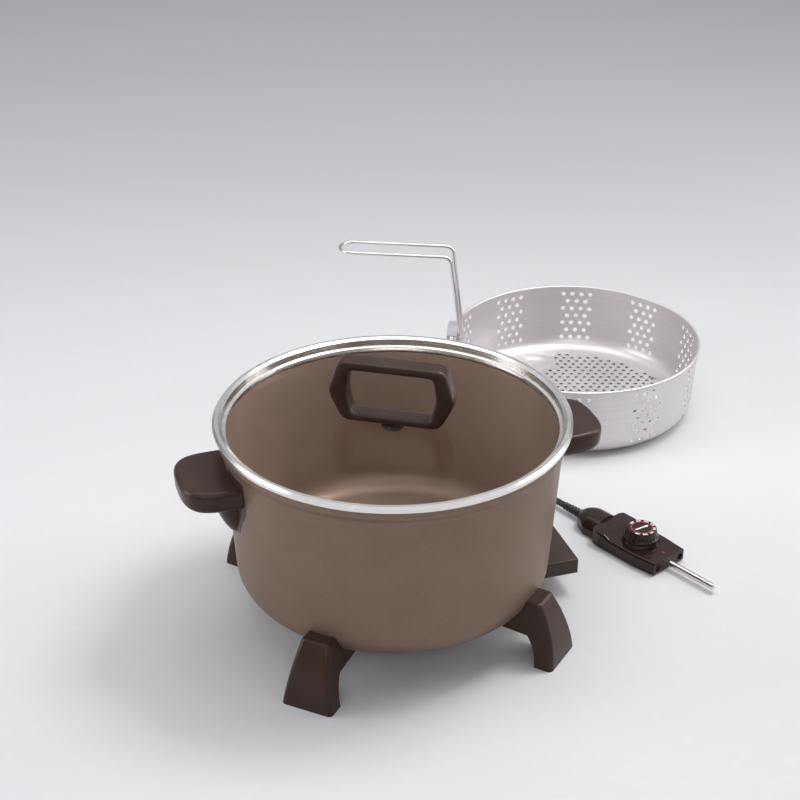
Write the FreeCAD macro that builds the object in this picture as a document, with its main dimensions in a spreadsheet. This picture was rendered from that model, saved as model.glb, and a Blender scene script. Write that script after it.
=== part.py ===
import FreeCAD, Part
import cmath
import math
import os
import re
import Sketcher
from FreeCAD import Placement, Rotation, Vector

# Electric soup kettle on four legs, with its glass cover, its steaming basket and its heat control.
# Millimetres and degrees. The origin is on the kettle's axis at the floor, +Z is up,
# and the two side handles lie along X, with the heat control's pins under the +X handle.

SIZES = {
    # Pot
    "base_height": 35.5,
    "rim_height": 193.0,
    "pot_base_radius": 140.0,
    "pot_rim_radius": 149.5,
    "pot_wall": 3.6,
    "pot_floor": 7.0,
    "base_corner": 24.5,
    "inner_corner": 21.0,
    "flare_height": 11.0,
    "flare_reach": 4.5,
    "flare_rise": 5.4,
    "flare_round": 12.0,
    "flare_edge_round": 4.0,
    "seat_beyond": 0.8,
    "seat_depth": 8.0,
    "seat_gap": 0.1,
    # Lugs of the pot that carry the side handles
    "lug_beyond": 18.5,
    "lug_width": 18.0,
    "lug_height": 9.0,
    "lug_middle": 156.5,
    "lug_fit": 0.2,
    # Heating element, its rib, its pins and the probe well
    "element_diameter": 8.0,
    "element_ring": 92.0,
    "element_bend": 16.0,
    "element_fit": 0.2,
    "element_reach": 133.0,
    "rib_wall": 4.0,
    "rib_depth": 6.0,
    "rib_gap_angle": 52.0,
    "pin_spacing": 32.0,
    "pin_diameter": 4.8,
    "pin_length": 31.0,
    "pin_round": 1.8,
    "well_width": 17.0,
    "well_height": 11.0,
    "well_start": 62.0,
    "well_mouth": 127.0,
    "well_bore": 6.8,
    "well_depth": 61.0,
    "well_round": 2.5,
    # Guard round the pins
    "guard_width": 74.0,
    "guard_bottom": 21.5,
    "guard_top": 37.0,
    "guard_start": 133.5,
    "guard_end": 168.5,
    "guard_sheet": 2.0,
    "guard_round": 1.5,
    "tongue_start": 104.0,
    "tongue_width": 12.0,
    "tongue_sheet": 3.0,
    "guard_screw_x": 112.0,
    "guard_screw_y": 31.0,
    # Side handles
    "handle_top": 170.0,
    "handle_thickness": 22.0,
    "root_inside": 11.5,
    "handle_beyond": 44.0,
    "handle_root_width": 76.0,
    "handle_tip_width": 56.0,
    "handle_corner": 17.0,
    "handle_round": 6.0,
    "apron_beyond": 7.5,
    "apron_bottom": 113.0,
    "apron_width": 46.0,
    "apron_tip_width": 24.0,
    "apron_round": 7.0,
    # Legs
    "leg_sole_inner": 156.0,
    "leg_sole_outer": 173.0,
    "leg_sole_width": 48.0,
    "leg_top": 58.0,
    "leg_top_outer": 153.5,
    "leg_top_width": 27.0,
    "leg_bracket_start": 102.5,
    "leg_bracket_sheet": 6.0,
    "leg_knee_radius": 146.0,
    "leg_knee_height": 27.5,
    "leg_bow": 110.0,
    "leg_hollow": 40.0,
    "leg_edge_round": 4.5,
    "leg_top_round": 4.0,
    "leg_angle": 47.5,
    "leg_screw_radius": 109.0,
    # Screws
    "screw_shank": 4.0,
    "screw_hole": 4.3,
    "screw_head": 8.0,
    "screw_head_height": 2.4,
    "screw_grip": 4.5,
    "head_recess": 8.8,
    # Cover
    "glass_clearance": 1.7,
    "glass_sheet": 4.0,
    "glass_below_rim": 2.0,
    "glass_crown": 1.2,
    "glass_hole": 7.0,
    "band_beyond": 7.0,
    "band_rise": 7.0,
    "band_sheet": 0.8,
    "band_lip": 3.4,
    "band_fit": 0.2,
    "band_round": 2.0,
    "cover_turn": -31.5,
    "loop_base_width": 84.0,
    "loop_width": 113.0,
    "loop_top_width": 92.0,
    "loop_height": 57.0,
    "loop_waist": 26.0,
    "loop_depth": 19.0,
    "loop_corner": 9.0,
    "loop_round": 3.0,
    "grip_base_width": 70.0,
    "grip_width": 80.0,
    "grip_top_width": 74.0,
    "grip_low": 7.0,
    "grip_waist": 27.0,
    "grip_top": 48.5,
    "grip_corner": 7.0,
    "seal_radius": 10.0,
    "seal_sheet": 1.5,
    "washer_radius": 9.0,
    "washer_sheet": 1.2,
    "cover_screw_reach": 5.0,
    # Steaming basket
    "basket_x": 314.7,
    "basket_y": 315.3,
    "basket_turn": 155.9,
    "basket_height": 82.5,
    "basket_top_radius": 136.4,
    "basket_base_radius": 132.3,
    "basket_bead": 1.5,
    "basket_bead_height": 3.0,
    "basket_corner": 16.4,
    "basket_sheet": 1.3,
    "wall_holes_low": 20.5,
    "wall_row": 15.6,
    "wall_pitch": 12.6,
    "wall_hole": 8.4,
    "floor_pitch": 19.2,
    "floor_hole": 8.4,
    "foot_height": 3.0,
    "foot_ring": 93.0,
    "foot_radius": 21.0,
    "foot_flat": 13.0,
    "foot_overlap": 0.6,
    # Bracket and wire handle of the basket
    "bracket_angle": 15.7,
    "bracket_sheet": 1.3,
    "bracket_gap": 0.2,
    "bracket_low": 63.0,
    "hook_radius": 143.2,
    "hook_low": 64.5,
    "wire_diameter": 4.0,
    "wire_fit": 0.3,
    "socket_radius": 129.9,
    "socket_spacing": 24.0,
    "socket_wall": 1.0,
    "socket_low": 64.0,
    "socket_floor": 1.5,
    "socket_top": 80.0,
    "rivet_spacing": 9.0,
    "rivet_height": 72.0,
    "rivet_shank": 3.0,
    "rivet_head": 5.6,
    "rivet_head_height": 1.2,
    "rivet_inner": 132.7,
    "rivet_outer": 136.15,
    "wire_knee": 88.0,
    "wire_knee_bend": 20.0,
    "grip_height": 177.0,
    "grip_start": 141.0,
    "grip_end": 265.0,
    "grip_spacing": 31.0,
    "grip_bend": 9.5,
    # Heat control, with its own X axis along the probe and its nose at X = 0
    "control_x": 268.1,
    "control_y": -27.6,
    "control_turn": -66.5,
    "control_split": 7.0,
    "nose_width": 43.0,
    "nose_height": 14.0,
    "shoulder_start": 25.0,
    "shoulder_end": 70.0,
    "shoulder_width": 48.0,
    "deck_end": 57.0,
    "deck_ramp": 7.0,
    "body_height": 17.0,
    "waist_start": 78.0,
    "waist_width": 45.0,
    "tail_start": 80.5,
    "tail_width": 36.0,
    "tail_height": 20.0,
    "tail_bow": 24.5,
    "dome_start": 96.0,
    "control_length": 112.0,
    "rear_width": 20.0,
    "rear_height": 14.0,
    "turret_radius": 18.5,
    "turret_crown": 17.5,
    "turret_top": 18.5,
    "control_side_round": 9.0,
    "control_edge_round": 2.5,
    "cavity_start": 14.0,
    "cavity_end": 74.0,
    "cavity_width": 34.0,
    "cavity_floor": 2.0,
    "cavity_roof": 12.2,
    "contact_hole": 7.0,
    "contact_outside": 6.6,
    "contact_bore": 5.2,
    "contact_recess": 2.0,
    "contact_length": 12.5,
    "probe_diameter": 6.4,
    "probe_fit": 0.2,
    "probe_reach": 56.0,
    "probe_root": 18.0,
    "probe_collar": 9.0,
    "probe_collar_length": 2.5,
    "groove_start": 44.0,
    "groove_length": 3.0,
    "groove_diameter": 5.2,
    "probe_tip": 2.0,
    "switch_start": 29.0,
    "switch_end": 56.0,
    "switch_width": 20.0,
    "switch_top": 12.0,
    "leaf_width": 5.0,
    "leaf_sheet": 1.0,
    "dial_behind": 36.0,
    "dial_diameter": 34.0,
    "dial_gap": 0.5,
    "dial_skirt": 2.0,
    "dial_height": 10.5,
    "dial_crown": 28.6,
    "dial_edge": 1.0,
    "shaft_diameter": 4.8,
    "shaft_fit": 0.3,
    "shaft_seat": 3.0,
    "lens_behind": 8.0,
    "lens_diameter": 5.0,
    "lens_fit": 0.1,
    "lens_depth": 3.0,
    "lens_rise": 0.8,
    "house_screw_rear": 92.5,
    "house_screw_front": 8.0,
    "house_screw_side": 8.0,
    "house_screw_shank": 2.6,
    "house_screw_hole": 2.9,
    "house_screw_head": 4.6,
    "house_head_recess": 5.2,
    "house_head_height": 1.6,
    "house_screw_top": 11.0,
    "grip_shank": 10.0,
    "grip_hole": 10.4,
    "grip_inside": 12.0,
    "grip_outside": 24.0,
    "grip_tip": 8.2,
    # Supply cord, its coil, tie and plug
    "cord_diameter": 6.6,
    "cord_rest": 3.4,
    "cord_straight": 26.0,
    "bend_one_x": 199.0,
    "bend_one_y": 150.0,
    "bend_two_x": 187.0,
    "bend_two_y": 178.0,
    "bend_three_x": 166.0,
    "bend_three_y": 199.0,
    "bend_four_x": 136.0,
    "bend_four_y": 211.0,
    "coil_lead_in": 18.0,
    "coil_x": 75.0,
    "coil_y": 252.0,
    "coil_radius": 38.0,
    "coil_pitch": 7.5,
    "coil_layer": 7.4,
    "coil_lift": 1.1,
    "coil_turns": 1.0,
    "coil_tail": 16.0,
    "tie_sheet": 0.8,
    "tie_width": 7.0,
    "tie_gap": 0.4,
    "plug_relief": 18.0,
    "plug_relief_radius": 4.6,
    "plug_neck_radius": 7.0,
    "plug_length": 34.0,
    "plug_width": 27.0,
    "plug_round": 4.0,
    "blade_spacing": 12.7,
    "blade_sheet": 1.5,
    "blade_width": 6.4,
    "blade_length": 16.0,
}

# Sizes that follow from others
FITTED = {
    "seat_radius": "pot_rim_radius + seat_beyond",
    "lug_reach": "pot_rim_radius + lug_beyond",
    "handle_root": "pot_rim_radius - root_inside",
    "handle_reach": "pot_rim_radius + handle_beyond",
    "apron_reach": "pot_rim_radius + apron_beyond",
    "glass_radius": "pot_rim_radius + seat_beyond - glass_clearance",
    "band_outer": "pot_rim_radius + band_beyond",
}

CLOSE = 0.01

doc = FreeCAD.newDocument("soup_kettle")
sheet = doc.addObject("Spreadsheet::Sheet", "Sizes")
for row, (name, size) in enumerate((SIZES | FITTED).items(), start=1):
    sheet.set(f"A{row}", name)
    sheet.set(f"B{row}", f"={size}")
    sheet.setAlias(f"B{row}", name)
doc.recompute()

nodes = []


def bound(formula):
    """Turn a formula in plain size names into one that reads the sheet."""
    def named(word):
        return f"Sizes.{word[0]}" if word[0] in SIZES or word[0] in FITTED else word[0]
    return re.sub(r"[a-z_]{3,}", named, formula)


def value(formula):
    """Number that a formula gives now."""
    return float(sheet.evalExpression(bound(formula)))


def new_body(label):
    """Body that becomes a node of its own."""
    body = doc.addObject("PartDesign::Body", label)
    body.Label = label
    nodes.append(body)
    return body


def place(node, along="0", across="0", up="0", turn="0"):
    """Put a node at a place on the floor plan, turned about the upright axis."""
    where = f"vector({bound(along)}; {bound(across)}; {bound(up)})"
    node.setExpression("Placement", f"placement({where}; rotation(vector(0; 0; 1); {bound(turn)}))")


def sketch_on(body, role, up="0", along="0", across="0", turn="0"):
    """Sketch on one of the body's own planes, moved off it by the first formula and turned about its own Y."""
    plane = next(item for item in body.Origin.OriginFeatures if item.Role == role)
    sketch = body.newObject("Sketcher::SketchObject", "outline")
    sketch.AttachmentSupport = (plane, [""])
    sketch.MapMode = "FlatFace"
    sketch.AttachmentOffset = Placement(Vector(), Rotation(Vector(0, 1, 0), value(turn)))
    sketch.setExpression(".AttachmentOffset.Base.x", bound(along))
    sketch.setExpression(".AttachmentOffset.Base.y", bound(across))
    sketch.setExpression(".AttachmentOffset.Base.z", bound(up))
    return sketch


def fix_point(sketch, edge, end, x, y):
    """Hold one point of a sketch at a formula in each direction."""
    for kind, formula in (("DistanceX", x), ("DistanceY", y)):
        number = sketch.addConstraint(Sketcher.Constraint(kind, -1, 1, edge, end, value(formula)))
        sketch.setExpression(f"Constraints[{number}]", bound(formula))


def draw(sketch, corners):
    """Closed outline through the corners. A third entry bows the next edge to an arc of that radius."""
    points = [Vector(value(corner[0]), value(corner[1]), 0) for corner in corners]
    first = sketch.GeometryCount
    ends = []
    for number, corner in enumerate(corners):
        start = points[number]
        stop = points[(number + 1) % len(points)]
        if len(corner) == 2:
            sketch.addGeometry(Part.LineSegment(start, stop))
            ends.append((1, 2))
            continue
        radius = value(corner[2])
        chord = stop - start
        side = Vector(-chord.y, chord.x, 0).normalize() * math.copysign(1.0, radius)
        sagitta = abs(radius) - math.sqrt(radius ** 2 - (chord.Length / 2) ** 2)
        middle = (start + stop) / 2 + side * sagitta
        edge = sketch.addGeometry(Part.Arc(start, middle, stop))
        forward = sketch.getPoint(edge, 1).distanceToPoint(start) < CLOSE
        ends.append((1, 2) if forward else (2, 1))
        length = sketch.addConstraint(Sketcher.Constraint("Radius", edge, abs(radius)))
        sketch.setExpression(f"Constraints[{length}]", bound(f"abs({corner[2]})"))
    for number, corner in enumerate(corners):
        after = (number + 1) % len(corners)
        joint = ("Coincident", first + number, ends[number][1], first + after, ends[after][0])
        sketch.addConstraint(Sketcher.Constraint(*joint))
        fix_point(sketch, first + number, ends[number][0], corner[0], corner[1])


def draw_box(sketch, left, right, low, high):
    """Rectangle between four formulas."""
    draw(sketch, [(left, low), (right, low), (right, high), (left, high)])


def draw_circle(sketch, x, y, diameter):
    """Circle of a diameter about a point."""
    edge = sketch.addGeometry(Part.Circle(Vector(value(x), value(y), 0), Vector(0, 0, 1), value(diameter) / 2))
    number = sketch.addConstraint(Sketcher.Constraint("Diameter", edge, value(diameter)))
    sketch.setExpression(f"Constraints[{number}]", bound(diameter))
    fix_point(sketch, edge, 3, x, y)


def revolve(body, sketch, axis="V_Axis", angle="360", cut=False):
    """Turn a sketch about one of its own axes, half of the angle to each side."""
    before = 0.0 if body.Shape.isNull() else body.Shape.Volume
    kind = "PartDesign::Groove" if cut else "PartDesign::Revolution"
    turned = body.newObject(kind, "turned")
    turned.Profile = sketch
    turned.ReferenceAxis = (sketch, [axis])
    turned.setExpression("Angle", bound(angle))
    turned.Midplane = True
    doc.recompute()
    if (body.Shape.Volume < before) != cut:
        raise ValueError(f"{body.Label}: the turned shape changed the volume the wrong way")
    return turned


def pad(body, sketch, length, back=False, both=False):
    """Push a sketch out along its normal, or half to each side."""
    pushed = body.newObject("PartDesign::Pad", "pushed")
    pushed.Profile = sketch
    pushed.setExpression("Length", bound(length))
    pushed.Reversed = back
    if both:
        pushed.SideType = "Symmetric"
    doc.recompute()
    return pushed


def pocket(body, sketch, depth, along_normal=False, both=False):
    """Cut a sketch into the body, against its normal unless told otherwise."""
    before = body.Shape.Volume
    cut = body.newObject("PartDesign::Pocket", "cut")
    cut.Profile = sketch
    cut.setExpression("Length", bound(depth))
    cut.Reversed = along_normal
    if both:
        cut.SideType = "Symmetric"
    doc.recompute()
    if body.Shape.Volume >= before - CLOSE:
        raise ValueError(f"{body.Label}: a pocket removed nothing")
    return cut


def fillet(body, radius, chosen):
    """Round the edges of the body that a test picks."""
    last = body.Tip
    names = [f"Edge{number}" for number, edge in enumerate(last.Shape.Edges, start=1) if chosen(edge)]
    if not names:
        raise ValueError(f"{body.Label}: no edge to round")
    rounded = body.newObject("PartDesign::Fillet", "rounded")
    rounded.Base = (last, names)
    rounded.setExpression("Radius", bound(radius))
    doc.recompute()
    if "Invalid" in rounded.State or rounded.Shape.isNull():
        raise ValueError(f"{body.Label}: the edges did not round")
    return rounded


def around(body, features, count, merge=True):
    """Repeat features evenly about the body's upright axis, and merge faces that lie on the same surface."""
    pattern = body.newObject("PartDesign::PolarPattern", "around")
    upright = next(item for item in body.Origin.OriginFeatures if item.Role == "Z_Axis")
    pattern.Originals = features
    pattern.Axis = (upright, [""])
    pattern.Angle = 360
    pattern.Occurrences = count
    pattern.Refine = merge
    body.Tip = pattern
    doc.recompute()
    return pattern


def mirrored(body, features):
    """Repeat features on the other side of the body's XZ plane."""
    pattern = body.newObject("PartDesign::Mirrored", "mirrored")
    plane = next(item for item in body.Origin.OriginFeatures if item.Role == "XZ_Plane")
    pattern.Originals = features
    pattern.MirrorPlane = (plane, [""])
    body.Tip = pattern
    doc.recompute()
    return pattern


def ring_at(radius, height):
    """Test that picks a round edge by its radius and height."""
    def chosen(edge):
        if edge.Curve.TypeId != "Part::GeomCircle":
            return False
        same_radius = abs(edge.Curve.Radius - value(radius)) < CLOSE
        return same_radius and abs(edge.Curve.Center.z - value(height)) < CLOSE
    return chosen


def upright_at(*places):
    """Test that picks upright edges that stand at given places of X and |Y|."""
    spots = [(value(x), value(y)) for x, y in places]

    def chosen(edge):
        box = edge.BoundBox
        if box.XLength > CLOSE or box.YLength > CLOSE:
            return False
        return any(math.dist(spot, (box.XMin, abs(box.YMin))) < CLOSE for spot in spots)
    return chosen


def level_at(height, beyond):
    """Test that picks edges that lie at a height and reach beyond an X."""
    def chosen(edge):
        box = edge.BoundBox
        flat = box.ZLength < CLOSE and abs(box.ZMin - value(height)) < CLOSE
        return flat and box.XMax > value(beyond) + CLOSE
    return chosen


def side_edges(depth):
    """Test that picks all edges on the two side faces of a part pushed evenly along Y."""
    def chosen(edge):
        box = edge.BoundBox
        return box.YLength < CLOSE and abs(abs(box.YMin) - value(depth) / 2) < CLOSE
    return chosen


def rounded_path(points, radii):
    """Wire of straight runs through the points, with a tangent arc of its own radius at each corner."""
    edges = []
    start = points[0]
    for before, corner, after, radius in zip(points, points[1:], points[2:], radii):
        into = (corner - before).normalize()
        away = (after - corner).normalize()
        reach = radius * math.tan(into.getAngle(away) / 2)
        enter = corner - into * reach
        leave = corner + away * reach
        inward = (away - into).normalize()
        centre = corner + inward * math.hypot(radius, reach)
        edges.append(Part.LineSegment(start, enter).toShape())
        edges.append(Part.Arc(enter, centre - inward * radius, leave).toShape())
        start = leave
    edges.append(Part.LineSegment(start, points[-1]).toShape())
    return Part.Wire(edges)


def tube(wire, diameter):
    """Round solid of a diameter along a smooth wire."""
    first = wire.OrderedEdges[0]
    heading = first.tangentAt(first.FirstParameter)
    ring = Part.Wire(Part.Circle(first.valueAt(first.FirstParameter), heading, diameter / 2).toShape())
    solid = wire.makePipeShell([ring], True, False)
    section = math.pi * diameter ** 2 / 4
    print(f"tube: {solid.Volume / (section * wire.Length):.4f} of section times length {wire.Length:.1f}")
    return solid


def add_shape(label, shape):
    """Node for a swept shape."""
    node = doc.addObject("Part::Feature", label)
    node.Label = label
    node.Shape = shape
    nodes.append(node)
    return node


# Line of the pot's outside wall and of its rounded bottom corner
WALL_RUN = "(pot_rim_radius - pot_base_radius)"
WALL_RISE = "(rim_height - flare_height - base_height)"
WALL_SLOPE = f"sqrt({WALL_RUN}^2 + {WALL_RISE}^2)"
CORNER_REACH = f"(base_corner * {WALL_RISE} / ({WALL_SLOPE} + {WALL_RUN}))"


def wall_radius(height):
    """Formula for the outside radius of the pot's wall at a height."""
    return f"(pot_base_radius + ({height} - base_height) * {WALL_RUN} / {WALL_RISE})"


def saddle(body, low, high):
    """Cut away what would lie inside the pot, so that the piece hugs the wall and the bottom corner."""
    sketch = sketch_on(body, "XZ_Plane")
    corner = []
    start = ("0", low)
    if value(low) <= value("base_height"):
        start = ("0", "base_height")
        corner = [
            (f"pot_base_radius - {CORNER_REACH}", "base_height"),
            (f"pot_base_radius - {CORNER_REACH}", "base_height - seat_gap", "-(base_corner + seat_gap)"),
            (
                f"pot_base_radius + ({CORNER_REACH} * {WALL_RUN} + seat_gap * {WALL_RISE}) / {WALL_SLOPE}",
                f"base_height + ({CORNER_REACH} * {WALL_RISE} - seat_gap * {WALL_RUN}) / {WALL_SLOPE}",
            ),
        ]
    else:
        corner = [(f"{wall_radius(low)} + seat_gap", low)]
    draw(sketch, [start, *corner, (f"{wall_radius(high)} + seat_gap", high), ("0", high)])
    return revolve(body, sketch, cut=True)


def screw_outline(body, along, low, top, across="0"):
    """Screw standing on its head at a place on the floor plan, from the low end of its head to its top."""
    sketch = sketch_on(body, "XZ_Plane", up=f"-({across})", along=along)
    draw(sketch, [
        ("0", low),
        ("screw_head / 2", low),
        ("screw_head / 2", f"{low} + screw_head_height"),
        ("screw_shank / 2", f"{low} + screw_head_height"),
        ("screw_shank / 2", top),
        ("0", top),
    ])
    return revolve(body, sketch)


# Pot
pot = new_body("pot_shell")
profile = sketch_on(pot, "XZ_Plane")
draw(profile, [
    ("0", "base_height"),
    ("pot_base_radius", "base_height"),
    ("pot_rim_radius", "rim_height - flare_height"),
    ("pot_rim_radius + flare_reach", "rim_height - flare_height + flare_rise"),
    ("pot_rim_radius + flare_reach", "rim_height"),
    ("seat_radius", "rim_height"),
    ("seat_radius", "rim_height - seat_depth"),
    ("pot_rim_radius - pot_wall", "rim_height - seat_depth"),
    ("pot_base_radius - pot_wall", "base_height + pot_floor"),
    ("0", "base_height + pot_floor"),
])
revolve(pot, profile)
fillet(pot, "base_corner", ring_at("pot_base_radius", "base_height"))
fillet(pot, "inner_corner", ring_at("pot_base_radius - pot_wall", "base_height + pot_floor"))
fillet(pot, "flare_round", ring_at("pot_rim_radius", "rim_height - flare_height"))
fillet(pot, "flare_edge_round", ring_at("pot_rim_radius + flare_reach", "rim_height - flare_height + flare_rise"))
inside = Part.makeCylinder(value("seat_radius") + 1, value("rim_height - base_height") - 1,
                           Vector(0, 0, value("base_height") + 1))
hollow = [solid for solid in inside.cut(pot.Shape).Solids if abs(solid.CenterOfMass.x) < 1 and abs(solid.CenterOfMass.y) < 1]
print(f"pot holds {max(hollow, key=lambda solid: solid.Volume).Volume / 1e6:.2f} litres to the brim")

rib = sketch_on(pot, "XZ_Plane")
channel = "(element_diameter / 2 + element_fit)"
draw_box(rib, f"-(element_ring + {channel} + rib_wall)", f"-(element_ring + {channel})",
         "base_height - rib_depth", "base_height + 1")
draw_box(rib, f"-(element_ring - {channel})", f"-(element_ring - {channel} - rib_wall)",
         "base_height - rib_depth", "base_height + 1")
revolve(pot, rib, angle="360 - rib_gap_angle")

lug = sketch_on(pot, "XY_Plane", up="lug_middle - lug_height / 2")
draw_box(lug, "pot_rim_radius - pot_wall", "lug_reach", "-lug_width / 2", "lug_width / 2")
draw_box(lug, "-lug_reach", "-(pot_rim_radius - pot_wall)", "-lug_width / 2", "lug_width / 2")
pad(pot, lug, "lug_height")
HANDLE_SCREW = "(lug_reach - 8)"
lug_holes = sketch_on(pot, "XY_Plane", up="lug_middle - lug_height / 2")
draw_circle(lug_holes, HANDLE_SCREW, "0", "screw_hole")
draw_circle(lug_holes, f"-{HANDLE_SCREW}", "0", "screw_hole")
pocket(pot, lug_holes, "lug_height - 2", along_normal=True)
base_holes = sketch_on(pot, "XY_Plane", up="base_height")
for across in ("", "-"):
    draw_circle(base_holes, "guard_screw_x", f"{across}guard_screw_y", "screw_hole")
    for along in ("", "-"):
        draw_circle(base_holes, f"{along}leg_screw_radius * cos(leg_angle)",
                    f"{across}leg_screw_radius * sin(leg_angle)", "screw_hole")
pocket(pot, base_holes, "pot_floor - 2", along_normal=True)

# Heating element under the base, one tube whose two ends turn out to the pins
ELEMENT_LEVEL = "(base_height - element_diameter / 2)"
ring_radius = value("element_ring")
bend = value("element_bend")
half_spacing = value("pin_spacing / 2")
level = value(ELEMENT_LEVEL)
bend_x = math.sqrt((ring_radius + bend) ** 2 - (half_spacing + bend) ** 2)


def element_end(side):
    """Points of one turned-out end: its tip, the start, middle and end of its bend."""
    centre = Vector(bend_x, side * (half_spacing + bend), level)
    inward = (Vector(0, 0, level) - centre).normalize()
    outward = Vector(0, -side, 0)
    middle = (inward + outward).normalize()
    tip = Vector(value("element_reach"), side * half_spacing, level)
    return tip, centre + outward * bend, centre + middle * bend, centre + inward * bend


right_tip, right_start, right_middle, right_stop = element_end(1)
left_tip, left_start, left_middle, left_stop = element_end(-1)
element_wire = Part.Wire([
    Part.LineSegment(right_tip, right_start).toShape(),
    Part.Arc(right_start, right_middle, right_stop).toShape(),
    Part.Arc(right_stop, Vector(-ring_radius, 0, level), left_stop).toShape(),
    Part.Arc(left_stop, left_middle, left_start).toShape(),
    Part.LineSegment(left_start, left_tip).toShape(),
])
add_shape("heating_element", tube(element_wire, value("element_diameter")))

pins = new_body("terminal_pins")
pin_ends = sketch_on(pins, "YZ_Plane", up="element_reach")
draw_circle(pin_ends, "pin_spacing / 2", ELEMENT_LEVEL, "pin_diameter")
draw_circle(pin_ends, "-pin_spacing / 2", ELEMENT_LEVEL, "pin_diameter")
pad(pins, pin_ends, "pin_length")
fillet(pins, "pin_round", lambda edge: edge.BoundBox.XMin > value("element_reach + pin_length") - CLOSE)

well = new_body("probe_well")
well_plan = sketch_on(well, "XY_Plane", up="base_height")
draw_box(well_plan, "well_start", "well_mouth", "-well_width / 2", "well_width / 2")
pad(well, well_plan, "well_height", back=True)
fillet(well, "well_round", level_at("base_height - well_height", "well_start"))
well_bore = sketch_on(well, "YZ_Plane", up="well_mouth")
draw_circle(well_bore, "0", ELEMENT_LEVEL, "well_bore")
pocket(well, well_bore, "well_depth")

# Guard round the pins, a sheet box open at both ends with two tongues under the base
guard = new_body("probe_guard")
guard_end = sketch_on(guard, "YZ_Plane", up="guard_start")
draw_box(guard_end, "-guard_width / 2", "guard_width / 2", "guard_bottom", "guard_top")
pad(guard, guard_end, "guard_end - guard_start")
fillet(guard, "guard_round", lambda edge: edge.BoundBox.XLength > 1)
guard_mouth = sketch_on(guard, "YZ_Plane", up="guard_end")
draw_box(guard_mouth, "-(guard_width / 2 - guard_sheet)", "guard_width / 2 - guard_sheet",
         "guard_bottom + guard_sheet", "guard_top - guard_sheet")
pocket(guard, guard_mouth, "guard_end - guard_start")
tongues = sketch_on(guard, "XY_Plane", up="base_height")
draw_box(tongues, "tongue_start", "guard_start + guard_sheet", "guard_width / 2 - tongue_width",
         "guard_width / 2")
draw_box(tongues, "tongue_start", "guard_start + guard_sheet", "-guard_width / 2",
         "-(guard_width / 2 - tongue_width)")
pad(guard, tongues, "tongue_sheet", back=True)
tongue_holes = sketch_on(guard, "XY_Plane", up="base_height")
draw_circle(tongue_holes, "guard_screw_x", "guard_screw_y", "screw_hole")
draw_circle(tongue_holes, "guard_screw_x", "-guard_screw_y", "screw_hole")
pocket(guard, tongue_holes, "tongue_sheet")

guard_screws = new_body("guard_screws")
GUARD_HEAD = "(base_height - tongue_sheet - screw_head_height)"
mirrored(guard_screws, [screw_outline(guard_screws, "guard_screw_x", GUARD_HEAD, "base_height + screw_grip",
                                      across="guard_screw_y")])


def side_handle(label, turn):
    """Moulded handle on a lug of the pot, with an apron that hugs the wall."""
    handle = new_body(label)
    plan = sketch_on(handle, "XY_Plane", up="handle_top - handle_thickness")
    draw(plan, [
        ("handle_root", "-handle_root_width / 2"),
        ("handle_reach", "-handle_tip_width / 2"),
        ("handle_reach", "handle_tip_width / 2"),
        ("handle_root", "handle_root_width / 2"),
    ])
    pad(handle, plan, "handle_thickness")
    fillet(handle, "handle_corner", upright_at(("handle_reach", "handle_tip_width / 2")))
    fillet(handle, "handle_round", level_at("handle_top", "handle_root"))
    fillet(handle, "handle_round", level_at("handle_top - handle_thickness", "handle_root"))
    apron = sketch_on(handle, "YZ_Plane", up="handle_root")
    draw(apron, [
        ("-apron_tip_width / 2", "apron_bottom"),
        ("apron_tip_width / 2", "apron_bottom"),
        ("apron_width / 2", "handle_top - handle_thickness / 2"),
        ("-apron_width / 2", "handle_top - handle_thickness / 2"),
    ])
    pad(handle, apron, "apron_reach - handle_root")
    fillet(handle, "apron_round", lambda edge: edge.BoundBox.ZLength < CLOSE and edge.BoundBox.XLength > 1
           and abs(edge.BoundBox.ZMin - value("apron_bottom")) < CLOSE)
    saddle(handle, "apron_bottom - 5", "handle_top + 5")
    lug_room = sketch_on(handle, "YZ_Plane", up="handle_root")
    draw_box(lug_room, "-(lug_width / 2 + lug_fit)", "lug_width / 2 + lug_fit",
             "lug_middle - lug_height / 2 - lug_fit", "lug_middle + lug_height / 2 + lug_fit")
    pocket(handle, lug_room, "lug_reach + lug_fit - handle_root", along_normal=True)
    for diameter, depth in (("screw_hole", "handle_thickness / 2"), ("head_recess", "screw_head_height")):
        hole = sketch_on(handle, "XY_Plane", up="handle_top - handle_thickness")
        draw_circle(hole, HANDLE_SCREW, "0", diameter)
        pocket(handle, hole, depth, along_normal=True)
    place(handle, turn=turn)


side_handle("right_handle", "0")
side_handle("left_handle", "180")

handle_screws = new_body("handle_screws")
HANDLE_LOW = "(handle_top - handle_thickness)"
around(handle_screws, [screw_outline(handle_screws, HANDLE_SCREW, HANDLE_LOW,
                                     "lug_middle + lug_height / 2 - 3")], 2)


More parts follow.
